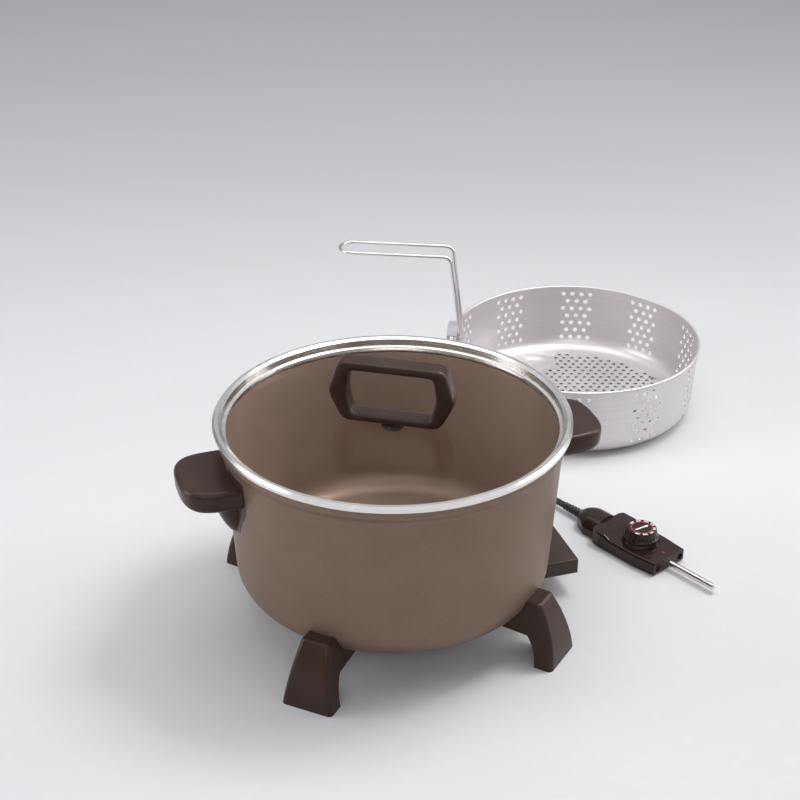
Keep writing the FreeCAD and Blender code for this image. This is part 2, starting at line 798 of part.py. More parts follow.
def leg(label, turn):
    """Moulded leg that cups the bottom corner of the pot and splays out to its sole."""
    made = new_body(label)
    side = sketch_on(made, "XZ_Plane")
    draw(side, [
        ("leg_sole_inner", "0"),
        ("leg_sole_outer", "0", "-leg_bow"),
        ("leg_top_outer", "leg_top"),
        ("leg_bracket_start + 20", "leg_top"),
        ("leg_bracket_start", "base_height"),
        ("leg_bracket_start", "base_height - leg_bracket_sheet"),
        ("leg_knee_radius", "leg_knee_height", "leg_hollow"),
    ])
    pad(made, side, "leg_sole_width", both=True)
    front = sketch_on(made, "YZ_Plane")
    for across in ("", "-"):
        draw(front, [
            (f"{across}leg_sole_width / 2", "0"),
            (f"{across}leg_sole_width", "0"),
            (f"{across}leg_sole_width", "leg_top"),
            (f"{across}leg_top_width / 2", "leg_top"),
        ])
    pocket(made, front, "leg_sole_outer + 10", along_normal=True)
    fillet(made, "leg_edge_round", lambda edge: edge.BoundBox.XMax > value("leg_sole_outer") - CLOSE
           and edge.BoundBox.ZLength > value("leg_top") / 2)
    fillet(made, "leg_top_round", lambda edge: edge.BoundBox.ZLength < CLOSE
           and abs(edge.BoundBox.ZMin - value("leg_top")) < CLOSE
           and edge.BoundBox.XMin > value("leg_top_outer") - value("leg_edge_round"))
    saddle(made, "base_height", "leg_top + 10")
    for diameter, start in (("screw_hole", "0"), ("head_recess", "2")):
        hole = sketch_on(made, "XY_Plane", up=f"base_height - {start}")
        draw_circle(hole, "leg_screw_radius", "0", diameter)
        pocket(made, hole, "leg_bracket_sheet + 5")
    place(made, turn=turn)


leg("leg_back_right", "leg_angle")
leg("leg_back_left", "180 - leg_angle")
leg("leg_front_left", "180 + leg_angle")
leg("leg_front_right", "-leg_angle")

leg_screws = new_body("leg_screws")
LEG_HEAD = "(base_height - 2 - screw_head_height)"
mirrored(leg_screws, [
    screw_outline(leg_screws, f"{side}leg_screw_radius * cos(leg_angle)", LEG_HEAD, "base_height + screw_grip",
                  across="leg_screw_radius * sin(leg_angle)")
    for side in ("", "-")
])

# Cover
GLASS_TOP = "(rim_height - glass_below_rim)"
GLASS_LOW = f"({GLASS_TOP} - glass_sheet)"
GLASS_DOME = "((glass_radius^2 + glass_crown^2) / (2 * glass_crown))"
glass = new_body("cover_glass")
glass_side = sketch_on(glass, "XZ_Plane")
draw(glass_side, [
    ("glass_hole / 2", f"{GLASS_LOW} + glass_crown", GLASS_DOME),
    ("glass_radius", GLASS_LOW),
    ("glass_radius", GLASS_TOP, f"-{GLASS_DOME}"),
    ("glass_hole / 2", f"{GLASS_TOP} + glass_crown"),
])
revolve(glass, glass_side)

band = new_body("cover_rim")
band_side = sketch_on(band, "XZ_Plane")
BAND_TOP = "(rim_height + band_rise)"
draw(band_side, [
    ("glass_radius + band_fit + band_sheet", f"{GLASS_LOW} - band_sheet"),
    ("glass_radius + band_fit + band_sheet", "rim_height"),
    ("band_outer - band_round", "rim_height"),
    ("band_outer", "rim_height + band_round"),
    ("band_outer", f"{BAND_TOP} - band_round"),
    ("band_outer - band_round", BAND_TOP),
    ("band_outer - 2.5 * band_round", BAND_TOP),
    ("glass_radius + band_fit", f"{BAND_TOP} - 2 * band_sheet"),
    ("glass_radius - band_sheet", f"{GLASS_TOP} + 2 * band_sheet"),
    ("glass_radius - band_lip", f"{GLASS_TOP} + band_sheet"),
    ("glass_radius - band_lip", f"{GLASS_TOP} + band_fit"),
    ("glass_radius + band_fit", f"{GLASS_TOP} + band_fit"),
    ("glass_radius + band_fit", GLASS_LOW),
    ("glass_radius - band_lip + band_sheet", GLASS_LOW),
    ("glass_radius - band_lip + band_sheet", f"{GLASS_LOW} - band_sheet"),
])
revolve(band, band_side)

loop = new_body("cover_handle")
loop_side = sketch_on(loop, "XZ_Plane")
draw(loop_side, [
    ("-loop_base_width / 2", "0"),
    ("loop_base_width / 2", "0"),
    ("loop_width / 2", "loop_waist"),
    ("loop_top_width / 2", "loop_height"),
    ("-loop_top_width / 2", "loop_height"),
    ("-loop_width / 2", "loop_waist"),
])
pad(loop, loop_side, "loop_depth", both=True)
fillet(loop, "loop_corner", lambda edge: edge.BoundBox.YLength > 1 and edge.BoundBox.ZMin > 1)
grip_side = sketch_on(loop, "XZ_Plane")
draw(grip_side, [
    ("-grip_base_width / 2", "grip_low"),
    ("grip_base_width / 2", "grip_low"),
    ("grip_width / 2", "grip_waist"),
    ("grip_top_width / 2", "grip_top"),
    ("-grip_top_width / 2", "grip_top"),
    ("-grip_width / 2", "grip_waist"),
])
pocket(loop, grip_side, "2 * loop_depth", both=True)
fillet(loop, "grip_corner", lambda edge: edge.BoundBox.YLength > 1 and edge.BoundBox.XLength < CLOSE
       and edge.BoundBox.ZLength < CLOSE and abs(edge.BoundBox.XMin) < value("grip_width") / 2 + CLOSE
       and value("grip_low") - CLOSE < edge.BoundBox.ZMin < value("grip_top") + CLOSE)
fillet(loop, "loop_round", lambda edge: side_edges("loop_depth")(edge) and edge.BoundBox.ZMax > CLOSE)
loop_hole = sketch_on(loop, "XY_Plane")
draw_circle(loop_hole, "0", "0", "screw_hole")
pocket(loop, loop_hole, "cover_screw_reach + 1", along_normal=True)
place(loop, up=f"{GLASS_TOP} + glass_crown", turn="cover_turn")

UNDER_GLASS = f"({GLASS_LOW} + glass_crown)"
seal = new_body("cover_seal")
seal_side = sketch_on(seal, "XZ_Plane")
draw_box(seal_side, "glass_hole / 2", "seal_radius", f"{UNDER_GLASS} - 2 * seat_gap - seal_sheet",
         f"{UNDER_GLASS} - 2 * seat_gap")
revolve(seal, seal_side)
SEAL_LOW = f"({UNDER_GLASS} - 2 * seat_gap - seal_sheet)"
washer = new_body("cover_washer")
washer_side = sketch_on(washer, "XZ_Plane")
draw_box(washer_side, "screw_hole / 2", "washer_radius", f"{SEAL_LOW} - washer_sheet", SEAL_LOW)
revolve(washer, washer_side)
cover_screw = new_body("cover_screw")
COVER_HEAD = f"({SEAL_LOW} - washer_sheet - screw_head_height)"
screw_outline(cover_screw, "0", COVER_HEAD, f"{GLASS_TOP} + glass_crown + cover_screw_reach")

# Steaming basket, with its bracket on its own +X side. Its wall holes stand in ten groups of offset rows,
# and its floor holes in a three-cornered grid that leaves the three feet whole.
WALL_GROUPS = 10
WALL_ROWS = 4
WALL_COLUMNS = 3
FLOOR_REACH = 6


def floor_third_spots():
    """Spots of one third of the floor's holes, in steps of the grid along and across."""
    spots = []
    clear = value("foot_radius + floor_hole")
    feet = [cmath.rect(value("foot_ring"), math.radians(angle)) for angle in (180, 60, -60)]
    for row in range(FLOOR_REACH + 1):
        for column in range(-FLOOR_REACH, FLOOR_REACH + 1):
            spot = complex(column + row / 2, row * math.sqrt(3) / 2) * value("floor_pitch")
            in_third = 0 <= cmath.phase(spot) < math.radians(120) - CLOSE and spot != 0
            on_floor = abs(spot) < value("basket_base_radius - basket_corner - floor_hole")
            if in_third and on_floor and min(abs(spot - foot) for foot in feet) > clear:
                spots.append((column + row / 2, row / 2))
    return spots


basket = new_body("basket_shell")
basket_side = sketch_on(basket, "XZ_Plane")
draw(basket_side, [
    ("0", "foot_height"),
    ("basket_base_radius", "foot_height"),
    ("basket_top_radius", "basket_height - basket_bead_height"),
    ("basket_top_radius + basket_bead", "basket_height - basket_bead_height + basket_bead / 2"),
    ("basket_top_radius + basket_bead", "basket_height"),
    ("basket_top_radius - basket_sheet", "basket_height"),
    ("basket_base_radius - basket_sheet", "foot_height + basket_sheet"),
    ("0", "foot_height + basket_sheet"),
])
revolve(basket, basket_side)
fillet(basket, "basket_corner", ring_at("basket_base_radius", "foot_height"))
fillet(basket, "basket_corner - basket_sheet",
       ring_at("basket_base_radius - basket_sheet", "foot_height + basket_sheet"))
foot_hole = sketch_on(basket, "XY_Plane", up="foot_height")
draw_circle(foot_hole, "-foot_ring", "0", "2 * (foot_radius - foot_overlap)")
foot_cut = pocket(basket, foot_hole, "2 * basket_sheet", along_normal=True)
around(basket, [foot_cut], 3)
foot_side = sketch_on(basket, "XZ_Plane", along="-foot_ring")
draw(foot_side, [
    ("0", "0"),
    ("foot_flat", "0"),
    ("foot_radius - foot_overlap", "foot_height"),
    ("foot_radius", "foot_height"),
    ("foot_radius", "foot_height + basket_sheet"),
    ("foot_radius - 2 * foot_overlap", "foot_height + basket_sheet"),
    ("foot_flat - foot_overlap", "basket_sheet"),
    ("0", "basket_sheet"),
])
around(basket, [revolve(basket, foot_side)], 3)
floor_third = sketch_on(basket, "XY_Plane", up="foot_height")
for along, across in floor_third_spots():
    draw_circle(floor_third, f"{along} * floor_pitch", f"{across} * sqrt(3) * floor_pitch", "floor_hole")
floor_cut = pocket(basket, floor_third, "2 * basket_sheet", along_normal=True)
around(basket, [floor_cut], 3)
rivet_holes = sketch_on(basket, "YZ_Plane", up="socket_radius")
draw_circle(rivet_holes, "rivet_spacing / 2", "rivet_height", "rivet_shank + 2 * seat_gap")
draw_circle(rivet_holes, "-rivet_spacing / 2", "rivet_height", "rivet_shank + 2 * seat_gap")
pocket(basket, rivet_holes, "hook_radius - socket_radius", along_normal=True)
wall_group = sketch_on(basket, "YZ_Plane", turn=f"180 / {WALL_GROUPS}")
for row in range(WALL_ROWS):
    holes_in_row = WALL_COLUMNS - row % 2
    for column in range(holes_in_row):
        draw_circle(wall_group, f"({column} - ({holes_in_row} - 1) / 2) * wall_pitch",
                    f"wall_holes_low + {row} * wall_row", "wall_hole")
wall_cut = pocket(basket, wall_group, "basket_top_radius + basket_bead", along_normal=True)
wall_cut.Refine = False
around(basket, [wall_cut], WALL_GROUPS, merge=False)
place(basket, "basket_x", "basket_y", turn="basket_turn")


def basket_inside(height):
    """Formula for the inside radius of the basket's wall at a height."""
    run = "(basket_top_radius - basket_base_radius)"
    rise = "(basket_height - foot_height - basket_sheet)"
    return f"(basket_base_radius - basket_sheet + ({height} - foot_height - basket_sheet) * {run} / {rise})"


bracket = new_body("basket_bracket")
bracket_side = sketch_on(bracket, "XZ_Plane")
BRACKET_TOP = "(basket_height + bracket_gap + bracket_sheet)"
draw(bracket_side, [
    (f"{basket_inside('bracket_low')} - bracket_gap - bracket_sheet", "bracket_low"),
    (f"{basket_inside('bracket_low')} - bracket_gap", "bracket_low"),
    (f"{basket_inside('basket_height')} - bracket_gap", "basket_height + bracket_gap"),
    ("hook_radius", "basket_height + bracket_gap"),
    ("hook_radius", "hook_low"),
    ("hook_radius + bracket_sheet", "hook_low"),
    ("hook_radius + bracket_sheet", BRACKET_TOP),
    (f"{basket_inside('basket_height')} - bracket_gap - bracket_sheet", BRACKET_TOP),
])
revolve(bracket, bracket_side, angle="bracket_angle")
SOCKET_BORE = "(wire_diameter + 2 * wire_fit)"
socket_plan = sketch_on(bracket, "XY_Plane", up="socket_low")
for across in ("", "-"):
    draw_circle(socket_plan, "socket_radius", f"{across}socket_spacing / 2", f"{SOCKET_BORE} + 2 * socket_wall")
pad(bracket, socket_plan, "socket_top - socket_low")
socket_bores = sketch_on(bracket, "XY_Plane", up="socket_top")
for across in ("", "-"):
    draw_circle(socket_bores, "socket_radius", f"{across}socket_spacing / 2", SOCKET_BORE)
pocket(bracket, socket_bores, "socket_top - socket_low - socket_floor")
plate_holes = sketch_on(bracket, "YZ_Plane", up="socket_radius")
draw_circle(plate_holes, "rivet_spacing / 2", "rivet_height", "rivet_shank + 2 * seat_gap")
draw_circle(plate_holes, "-rivet_spacing / 2", "rivet_height", "rivet_shank + 2 * seat_gap")
pocket(bracket, plate_holes, "basket_top_radius - socket_radius", along_normal=True)
place(bracket, "basket_x", "basket_y", turn="basket_turn")

rivets = new_body("bracket_rivets")
for start, reach, diameter in (
    ("rivet_inner - rivet_head_height", "rivet_head_height", "rivet_head"),
    ("rivet_inner", "rivet_outer - rivet_inner", "rivet_shank"),
    ("rivet_outer", "rivet_head_height", "rivet_head"),
):
    rivet_end = sketch_on(rivets, "YZ_Plane", up=start)
    draw_circle(rivet_end, "rivet_spacing / 2", "rivet_height", diameter)
    draw_circle(rivet_end, "-rivet_spacing / 2", "rivet_height", diameter)
    pad(rivets, rivet_end, reach)
place(rivets, "basket_x", "basket_y", turn="basket_turn")


def basket_place():
    """Placement of the basket for a swept shape."""
    where = Vector(value("basket_x"), value("basket_y"), 0)
    return Placement(where, Rotation(Vector(0, 0, 1), value("basket_turn")))


def wire_side(side):
    """Points of one half of the wire handle, from its foot in the socket to the outer end of the grip."""
    foot = side * value("socket_spacing / 2")
    wide = side * value("grip_spacing / 2")
    return [
        Vector(value("socket_radius"), foot, value("socket_low + socket_floor")),
        Vector(value("socket_radius"), foot, value("wire_knee")),
        Vector(value("grip_start"), wide, value("grip_height")),
        Vector(value("grip_end"), wide, value("grip_height")),
    ]


half_bends = [value("wire_knee_bend"), value("grip_bend"), value("grip_spacing / 2") - CLOSE]
wire_points = wire_side(1) + wire_side(-1)[::-1]
handle_wire = tube(rounded_path(wire_points, half_bends + half_bends[::-1]), value("wire_diameter"))
add_shape("basket_handle_wire", handle_wire).Placement = basket_place()

# Heat control
CONTROL_PLAN = [
    ("0", "-nose_width / 2"),
    ("0", "nose_width / 2"),
    ("-shoulder_start", "shoulder_width / 2"),
    ("-shoulder_end", "shoulder_width / 2"),
    ("-waist_start", "waist_width / 2"),
    ("-tail_start", "tail_width / 2"),
    ("-dome_start", "tail_width / 2"),
    ("-control_length", "rear_width / 2"),
    ("-control_length", "-rear_width / 2"),
    ("-dome_start", "-tail_width / 2"),
    ("-tail_start", "-tail_width / 2"),
    ("-waist_start", "-waist_width / 2"),
    ("-shoulder_end", "-shoulder_width / 2"),
    ("-shoulder_start", "-shoulder_width / 2"),
]
HALVES_BORES = [
    ("YZ_Plane", "0", "pin_spacing / 2", "contact_hole", "cavity_start + 1"),
    ("YZ_Plane", "0", "-pin_spacing / 2", "contact_hole", "cavity_start + 1"),
    ("YZ_Plane", "0", "0", "probe_diameter + 2 * probe_fit", "cavity_start + 1"),
]


def housing_half(label, up, height, down):
    """One half of the control's housing as a plain block of the plan, with rounded upright corners."""
    half = new_body(label)
    plan = sketch_on(half, "XY_Plane", up=up)
    draw(plan, CONTROL_PLAN)
    pad(half, plan, height, back=down)
    fillet(half, "control_side_round", upright_at(
        ("-dome_start", "tail_width / 2"),
        ("-control_length", "rear_width / 2"),
    ))
    return half


def housing_bores(half):
    """Holes on the split plane: two for the pins, one for the probe and one for the cord grip."""
    for role, start, across, diameter, depth in HALVES_BORES:
        bore = sketch_on(half, role, up=start)
        draw_circle(bore, across, "control_split", diameter)
        pocket(half, bore, depth)
    rear = sketch_on(half, "YZ_Plane", up="-control_length")
    draw_circle(rear, "0", "control_split", "grip_hole")
    pocket(half, rear, "grip_inside", along_normal=True)


def control_holes(sketch, diameter):
    """Circles at the three housing screws."""
    draw_circle(sketch, "-house_screw_rear", "0", diameter)
    draw_circle(sketch, "-house_screw_front", "house_screw_side", diameter)
    draw_circle(sketch, "-house_screw_front", "-house_screw_side", diameter)


control_base = housing_half("control_base", "control_split", "control_split", True)
fillet(control_base, "control_edge_round", lambda edge: edge.BoundBox.ZMax < CLOSE)
base_room = sketch_on(control_base, "XY_Plane", up="control_split")
draw_box(base_room, "-cavity_end", "-cavity_start", "-cavity_width / 2", "cavity_width / 2")
pocket(control_base, base_room, "control_split - cavity_floor")
housing_bores(control_base)
for diameter, depth in (("house_screw_hole", "control_split"), ("house_head_recess", "house_head_height")):
    screw_holes = sketch_on(control_base, "XY_Plane")
    control_holes(screw_holes, diameter)
    pocket(control_base, screw_holes, depth, along_normal=True)
place(control_base, "control_x", "control_y", turn="control_turn")

control_cover = housing_half("control_cover", "control_split", "tail_height + deck_ramp - control_split", False)
over = sketch_on(control_cover, "XZ_Plane")
draw(over, [
    ("deck_ramp", "nose_height"),
    ("deck_ramp", "2 * tail_height"),
    ("-tail_start", "2 * tail_height"),
    ("-tail_start", "body_height"),
    ("-deck_end - deck_ramp", "body_height"),
    ("-deck_end", "nose_height"),
])
pocket(control_cover, over, "2 * shoulder_width", both=True)
dome = sketch_on(control_cover, "XZ_Plane")
draw(dome, [
    ("-tail_start", "tail_height"),
    ("-dome_start", "tail_height", "-tail_bow"),
    ("-control_length", "rear_height"),
    ("-control_length - deck_ramp", "rear_height"),
    ("-control_length - deck_ramp", "2 * tail_height"),
    ("-tail_start", "2 * tail_height"),
])
revolve(control_cover, dome, axis="H_Axis", cut=True)
fillet(control_cover, "control_edge_round", lambda edge: edge.BoundBox.ZMin > value("nose_height") - CLOSE
       and edge.BoundBox.YMin * edge.BoundBox.YMax > CLOSE
       and edge.BoundBox.XMin > -value("shoulder_end") - CLOSE)
turret = sketch_on(control_cover, "XZ_Plane", along="-dial_behind")
draw(turret, [
    ("0", "control_split"),
    ("turret_radius", "control_split"),
    ("turret_radius", "nose_height"),
    ("turret_crown", "turret_top"),
    ("0", "turret_top"),
])
revolve(control_cover, turret)
low_room = sketch_on(control_cover, "XY_Plane", up="control_split")
draw_box(low_room, "-cavity_end", "-cavity_start", "-cavity_width / 2", "cavity_width / 2")
pocket(control_cover, low_room, "cavity_roof - control_split", along_normal=True)
housing_bores(control_cover)
cover_screw_holes = sketch_on(control_cover, "XY_Plane", up="control_split")
control_holes(cover_screw_holes, "house_screw_hole")
pocket(control_cover, cover_screw_holes, "house_screw_top + 0.5 - control_split", along_normal=True)
shaft_hole = sketch_on(control_cover, "XY_Plane", up="turret_top")
draw_circle(shaft_hole, "-dial_behind", "0", "shaft_diameter + 2 * shaft_fit")
pocket(control_cover, shaft_hole, "turret_top - control_split")
lens_hole = sketch_on(control_cover, "XY_Plane", up="nose_height")
draw_circle(lens_hole, "-lens_behind", "0", "lens_diameter + 2 * lens_fit")
pocket(control_cover, lens_hole, "lens_depth")
place(control_cover, "control_x", "control_y", turn="control_turn")

house_screws = new_body("housing_screws")
for diameter, start, reach in (
    ("house_screw_head", "0.2", "house_head_height - 0.2"),
    ("house_screw_shank", "house_head_height", "house_screw_top - house_head_height"),
):
    screw_plan = sketch_on(house_screws, "XY_Plane", up=start)
    control_holes(screw_plan, diameter)
    pad(house_screws, screw_plan, reach)
place(house_screws, "control_x", "control_y", turn="control_turn")

probe = new_body("probe")
probe_side = sketch_on(probe, "XY_Plane", up="control_split")
draw(probe_side, [
    ("-probe_root", "0"),
    ("-probe_root", "probe_collar / 2"),
    ("-probe_root + probe_collar_length", "probe_collar / 2"),
    ("-probe_root + probe_collar_length", "probe_diameter / 2"),
    ("groove_start", "probe_diameter / 2"),
    ("groove_start", "groove_diameter / 2"),
    ("groove_start + groove_length", "groove_diameter / 2"),
    ("groove_start + groove_length", "probe_diameter / 2"),
    ("probe_reach - probe_tip", "probe_diameter / 2"),
    ("probe_reach", "probe_diameter / 2 - probe_tip"),
    ("probe_reach", "0"),
])
revolve(probe, probe_side, axis="H_Axis")
place(probe, "control_x", "control_y", turn="control_turn")

contacts = new_body("contact_sockets")
contact_ends = sketch_on(contacts, "YZ_Plane", up="-contact_recess")
for across in ("", "-"):
    draw_circle(contact_ends, f"{across}pin_spacing / 2", "control_split", "contact_outside")
pad(contacts, contact_ends, "contact_length", back=True)
contact_bores = sketch_on(contacts, "YZ_Plane", up="-contact_recess")
for across in ("", "-"):
    draw_circle(contact_bores, f"{across}pin_spacing / 2", "control_split", "contact_bore")
pocket(contacts, contact_bores, "contact_length - 2")
place(contacts, "control_x", "control_y", turn="control_turn")

switch = new_body("thermostat_switch")
switch_plan = sketch_on(switch, "XY_Plane", up="cavity_floor")
draw_box(switch_plan, "-switch_end", "-switch_start", "-switch_width / 2", "switch_width / 2")
pad(switch, switch_plan, "switch_top - cavity_floor")
leaf_plan = sketch_on(switch, "XY_Plane", up="control_split")
draw_box(leaf_plan, "-switch_start - 2", "-probe_root", "-leaf_width / 2", "leaf_width / 2")
pad(switch, leaf_plan, "leaf_sheet", both=True)
shaft_seat = sketch_on(switch, "XY_Plane", up="switch_top")
draw_circle(shaft_seat, "-dial_behind", "0", "shaft_diameter + 2 * shaft_fit")
pocket(switch, shaft_seat, "shaft_seat")
place(switch, "control_x", "control_y", turn="control_turn")

DIAL_LOW = "(turret_top + dial_gap)"
dial = new_body("dial")
dial_side = sketch_on(dial, "XZ_Plane", along="-dial_behind")
draw(dial_side, [
    ("shaft_diameter / 2", DIAL_LOW),
    ("dial_diameter / 2", DIAL_LOW),
    ("dial_diameter / 2", f"{DIAL_LOW} + dial_skirt"),
    ("dial_crown / 2", f"{DIAL_LOW} + dial_height - dial_edge"),
    ("dial_crown / 2 - dial_edge", f"{DIAL_LOW} + dial_height"),
    ("0", f"{DIAL_LOW} + dial_height"),
    ("0", f"{DIAL_LOW} + dial_height / 2"),
    ("shaft_diameter / 2", f"{DIAL_LOW} + dial_height / 2"),
])
revolve(dial, dial_side)
place(dial, "control_x", "control_y", turn="control_turn")

shaft = new_body("dial_shaft")
shaft_plan = sketch_on(shaft, "XY_Plane", up="switch_top - shaft_seat + shaft_fit")
draw_circle(shaft_plan, "-dial_behind", "0", "shaft_diameter")
pad(shaft, shaft_plan, f"{DIAL_LOW} + dial_height / 2 - switch_top + shaft_seat - shaft_fit")
place(shaft, "control_x", "control_y", turn="control_turn")

lens = new_body("pilot_lens")
lens_plan = sketch_on(lens, "XY_Plane", up="nose_height - lens_depth")
draw_circle(lens_plan, "-lens_behind", "0", "lens_diameter")
pad(lens, lens_plan, "lens_depth + lens_rise")
fillet(lens, "lens_rise", level_at("nose_height + lens_rise", "-control_length"))
place(lens, "control_x", "control_y", turn="control_turn")

cord_grip = new_body("cord_grip")
grip_outline = sketch_on(cord_grip, "XY_Plane", up="control_split")
draw(grip_outline, [
    ("-control_length + grip_inside", "0"),
    ("-control_length + grip_inside", "grip_shank / 2"),
    ("-control_length", "grip_shank / 2"),
    ("-control_length - grip_outside", "grip_tip / 2"),
    ("-control_length - grip_outside", "0"),
])
revolve(cord_grip, grip_outline, axis="H_Axis")
place(cord_grip, "control_x", "control_y", turn="control_turn")

# Supply cord. It leaves the grip, drops to the floor and runs behind the kettle to its coil.
cord = value("cord_diameter")
rest = value("cord_rest")
turn = math.radians(value("control_turn"))
rearward = Vector(-math.cos(turn), -math.sin(turn), 0)
nose = Vector(value("control_x"), value("control_y"), value("control_split"))
cord_start = nose + rearward * value("control_length + grip_outside")
coil_centre = Vector(value("coil_x"), value("coil_y"), 0)
coil_low = value("cord_diameter / 2 + coil_lift")
coil_high = coil_low + value("coil_layer")
coil_radius = value("coil_radius")
coil_start = coil_centre + Vector(value("coil_tail"), -coil_radius, coil_low)
lead_points = [
    cord_start,
    cord_start + rearward * value("cord_straight"),
    Vector(value("bend_one_x"), value("bend_one_y"), rest),
    Vector(value("bend_two_x"), value("bend_two_y"), rest),
    Vector(value("bend_three_x"), value("bend_three_y"), rest),
    Vector(value("bend_four_x"), value("bend_four_y"), rest),
    coil_start + Vector(value("coil_lead_in"), 0, 0),
    coil_start,
]
lead_radii = []
for before, corner, after in zip(lead_points, lead_points[1:], lead_points[2:]):
    into = corner - before
    away = after - corner
    shorter = min(into.Length, away.Length)
    lead_radii.append(0.45 * shorter / math.tan(into.getAngle(away) / 2))
print("cord bends", [round(radius) for radius in lead_radii], "least allowed", round(5 * cord))
lead_wire = rounded_path(lead_points, lead_radii)
add_shape("cord_lead", tube(lead_wire, cord))


def coil_point(angle):
    """Place of the coil's middle line after an angle: in on the lower layer, up, and out on the upper one."""
    half_way = 2 * math.pi * value("coil_turns") + math.pi / 2
    inward = half_way - abs(angle - half_way)
    radius = coil_radius - value("coil_pitch") * inward / (2 * math.pi)
    climb = min(max((angle - half_way) / math.pi + 0.5, 0.0), 1.0)
    height = coil_low + (coil_high - coil_low) * (1 - math.cos(math.pi * climb)) / 2
    around_angle = -math.pi / 2 - angle
    return coil_centre + Vector(radius * math.cos(around_angle), radius * math.sin(around_angle), height)


def biarc(start, start_way, stop, stop_way):
    """Two arcs that leave and arrive along given directions."""
    across = stop - start
    both = start_way + stop_way
    spread = 2 * (1 - start_way.dot(stop_way))
    lean = across.dot(both)
    reach = (math.sqrt(lean ** 2 + spread * across.dot(across)) - lean) / spread
    first = start + start_way * reach
    second = stop - stop_way * reach
    middle = (first + second) / 2
    arcs = []
    for begin, apex, end in ((start, first, middle), (middle, second, stop)):
        foot = (begin + end) / 2
        half = (end - begin).Length / 2
        rise = (apex - foot).Length
        sagitta = half * math.tan(math.atan2(rise, half) / 2)
        arcs.append(Part.Arc(begin, foot + (apex - foot) * (sagitta / rise), end).toShape())
    return arcs


COIL_STEPS_PER_TURN = 4
coil_angle = 2 * math.pi * (2 * value("coil_turns") + 0.5)
steps = round(coil_angle / (2 * math.pi) * COIL_STEPS_PER_TURN)
angles = [coil_angle * step / steps for step in range(steps + 1)]
spots = [coil_point(angle) for angle in angles]
ways = []
for angle in angles:
    away = coil_point(angle + CLOSE) - coil_point(angle - CLOSE)
    ways.append(away.normalize())
ways[0] = Vector(-1, 0, 0)
ways[-1] = Vector(1, 0, 0)
coil_stop = spots[-1] + ways[-1] * value("coil_tail")
coil_edges = [Part.LineSegment(coil_start, spots[0]).toShape()]
for start, start_way, stop, stop_way in zip(spots, ways, spots[1:], ways[1:]):
    coil_edges += biarc(start, start_way, stop, stop_way)
coil_edges.append(Part.LineSegment(spots[-1], coil_stop).toShape())
coil_wire = Part.Wire(coil_edges)
coil_samples = coil_wire.discretize(Distance=1.5)
apart = math.ceil(4 * cord / 1.5)
least = min(
    one.distanceToPoint(other)
    for number, one in enumerate(coil_samples)
    for other in coil_samples[number + apart:]
)
print(f"coil: least gap to itself {least - cord:.2f}, length {coil_wire.Length:.1f}")
add_shape("cord_coil", tube(coil_wire, cord))
print(f"cord length {lead_wire.Length + coil_wire.Length:.0f}")

# Tie round the coil on the side away from the basket
tie = new_body("cord_tie")
COIL_TOP = "(cord_diameter + coil_lift + coil_layer)"
tie_side = sketch_on(tie, "XZ_Plane")
TIE_OUTER = "(coil_radius - coil_pitch / 4 + cord_diameter / 2 + tie_gap)"
TIE_INNER = "(coil_radius - coil_pitch * (coil_turns + 0.25) - cord_diameter / 2 - tie_gap)"
draw_box(tie_side, f"-{TIE_OUTER} - tie_sheet", f"-{TIE_INNER} + tie_sheet", "0",
         f"{COIL_TOP} + tie_gap + tie_sheet")
draw_box(tie_side, f"-{TIE_OUTER}", f"-{TIE_INNER}", "tie_sheet", f"{COIL_TOP} + tie_gap")
pad(tie, tie_side, "tie_width", both=True)
place(tie, "coil_x", "coil_y")

PLUG_LEVEL = "(cord_diameter / 2 + coil_lift + coil_layer)"
plug = new_body("plug_body")
plug_end = sketch_on(plug, "YZ_Plane", up="plug_relief")
draw_box(plug_end, "-plug_width / 2", "plug_width / 2", f"-{PLUG_LEVEL}", PLUG_LEVEL)
pad(plug, plug_end, "plug_length")
fillet(plug, "plug_round", lambda edge: edge.BoundBox.XLength > 1)
relief = sketch_on(plug, "XY_Plane")
draw(relief, [
    ("0", "0"),
    ("0", "plug_relief_radius"),
    ("plug_relief", "plug_neck_radius"),
    ("plug_relief + 1", "plug_neck_radius"),
    ("plug_relief + 1", "0"),
])
revolve(plug, relief, axis="H_Axis")
place(plug, "coil_x + coil_tail", "coil_y + coil_radius", PLUG_LEVEL)

blades = new_body("plug_blades")
blade_ends = sketch_on(blades, "YZ_Plane", up="plug_relief + plug_length")
for across in ("", "-"):
    middle = f"{across}blade_spacing / 2"
    draw_box(blade_ends, f"{middle} - blade_sheet / 2", f"{middle} + blade_sheet / 2",
             "-blade_width / 2", "blade_width / 2")
pad(blades, blade_ends, "blade_length")
place(blades, "coil_x + coil_tail", "coil_y + coil_radius", PLUG_LEVEL)

doc.recompute()
for item in doc.Objects:
    if "Invalid" in item.State or "Error" in item.State:
        raise ValueError(f"{item.Label} did not build")
os.makedirs("parts", exist_ok=True)
for node in nodes:
    if node.Shape.isNull() or not node.Shape.isValid() or not node.Shape.Solids:
        raise ValueError(f"{node.Label} has no sound solid")
    node.Shape.exportStep(f"parts/{node.Label}.step")
    print(f"{node.Label}: {node.Shape.Volume / 1000:.2f} cm3, {len(node.Shape.Solids)} solid")
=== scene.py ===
"""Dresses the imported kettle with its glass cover, perforated basket and plug-in heat control.

The solids of the frame stay where they are. Pieces that need a finer form are surfaces worked out
with numpy in metres, and every piece gets a finish made of shader nodes.
"""
import math

import bmesh
import bpy
import numpy as np
from mathutils import Matrix, Vector


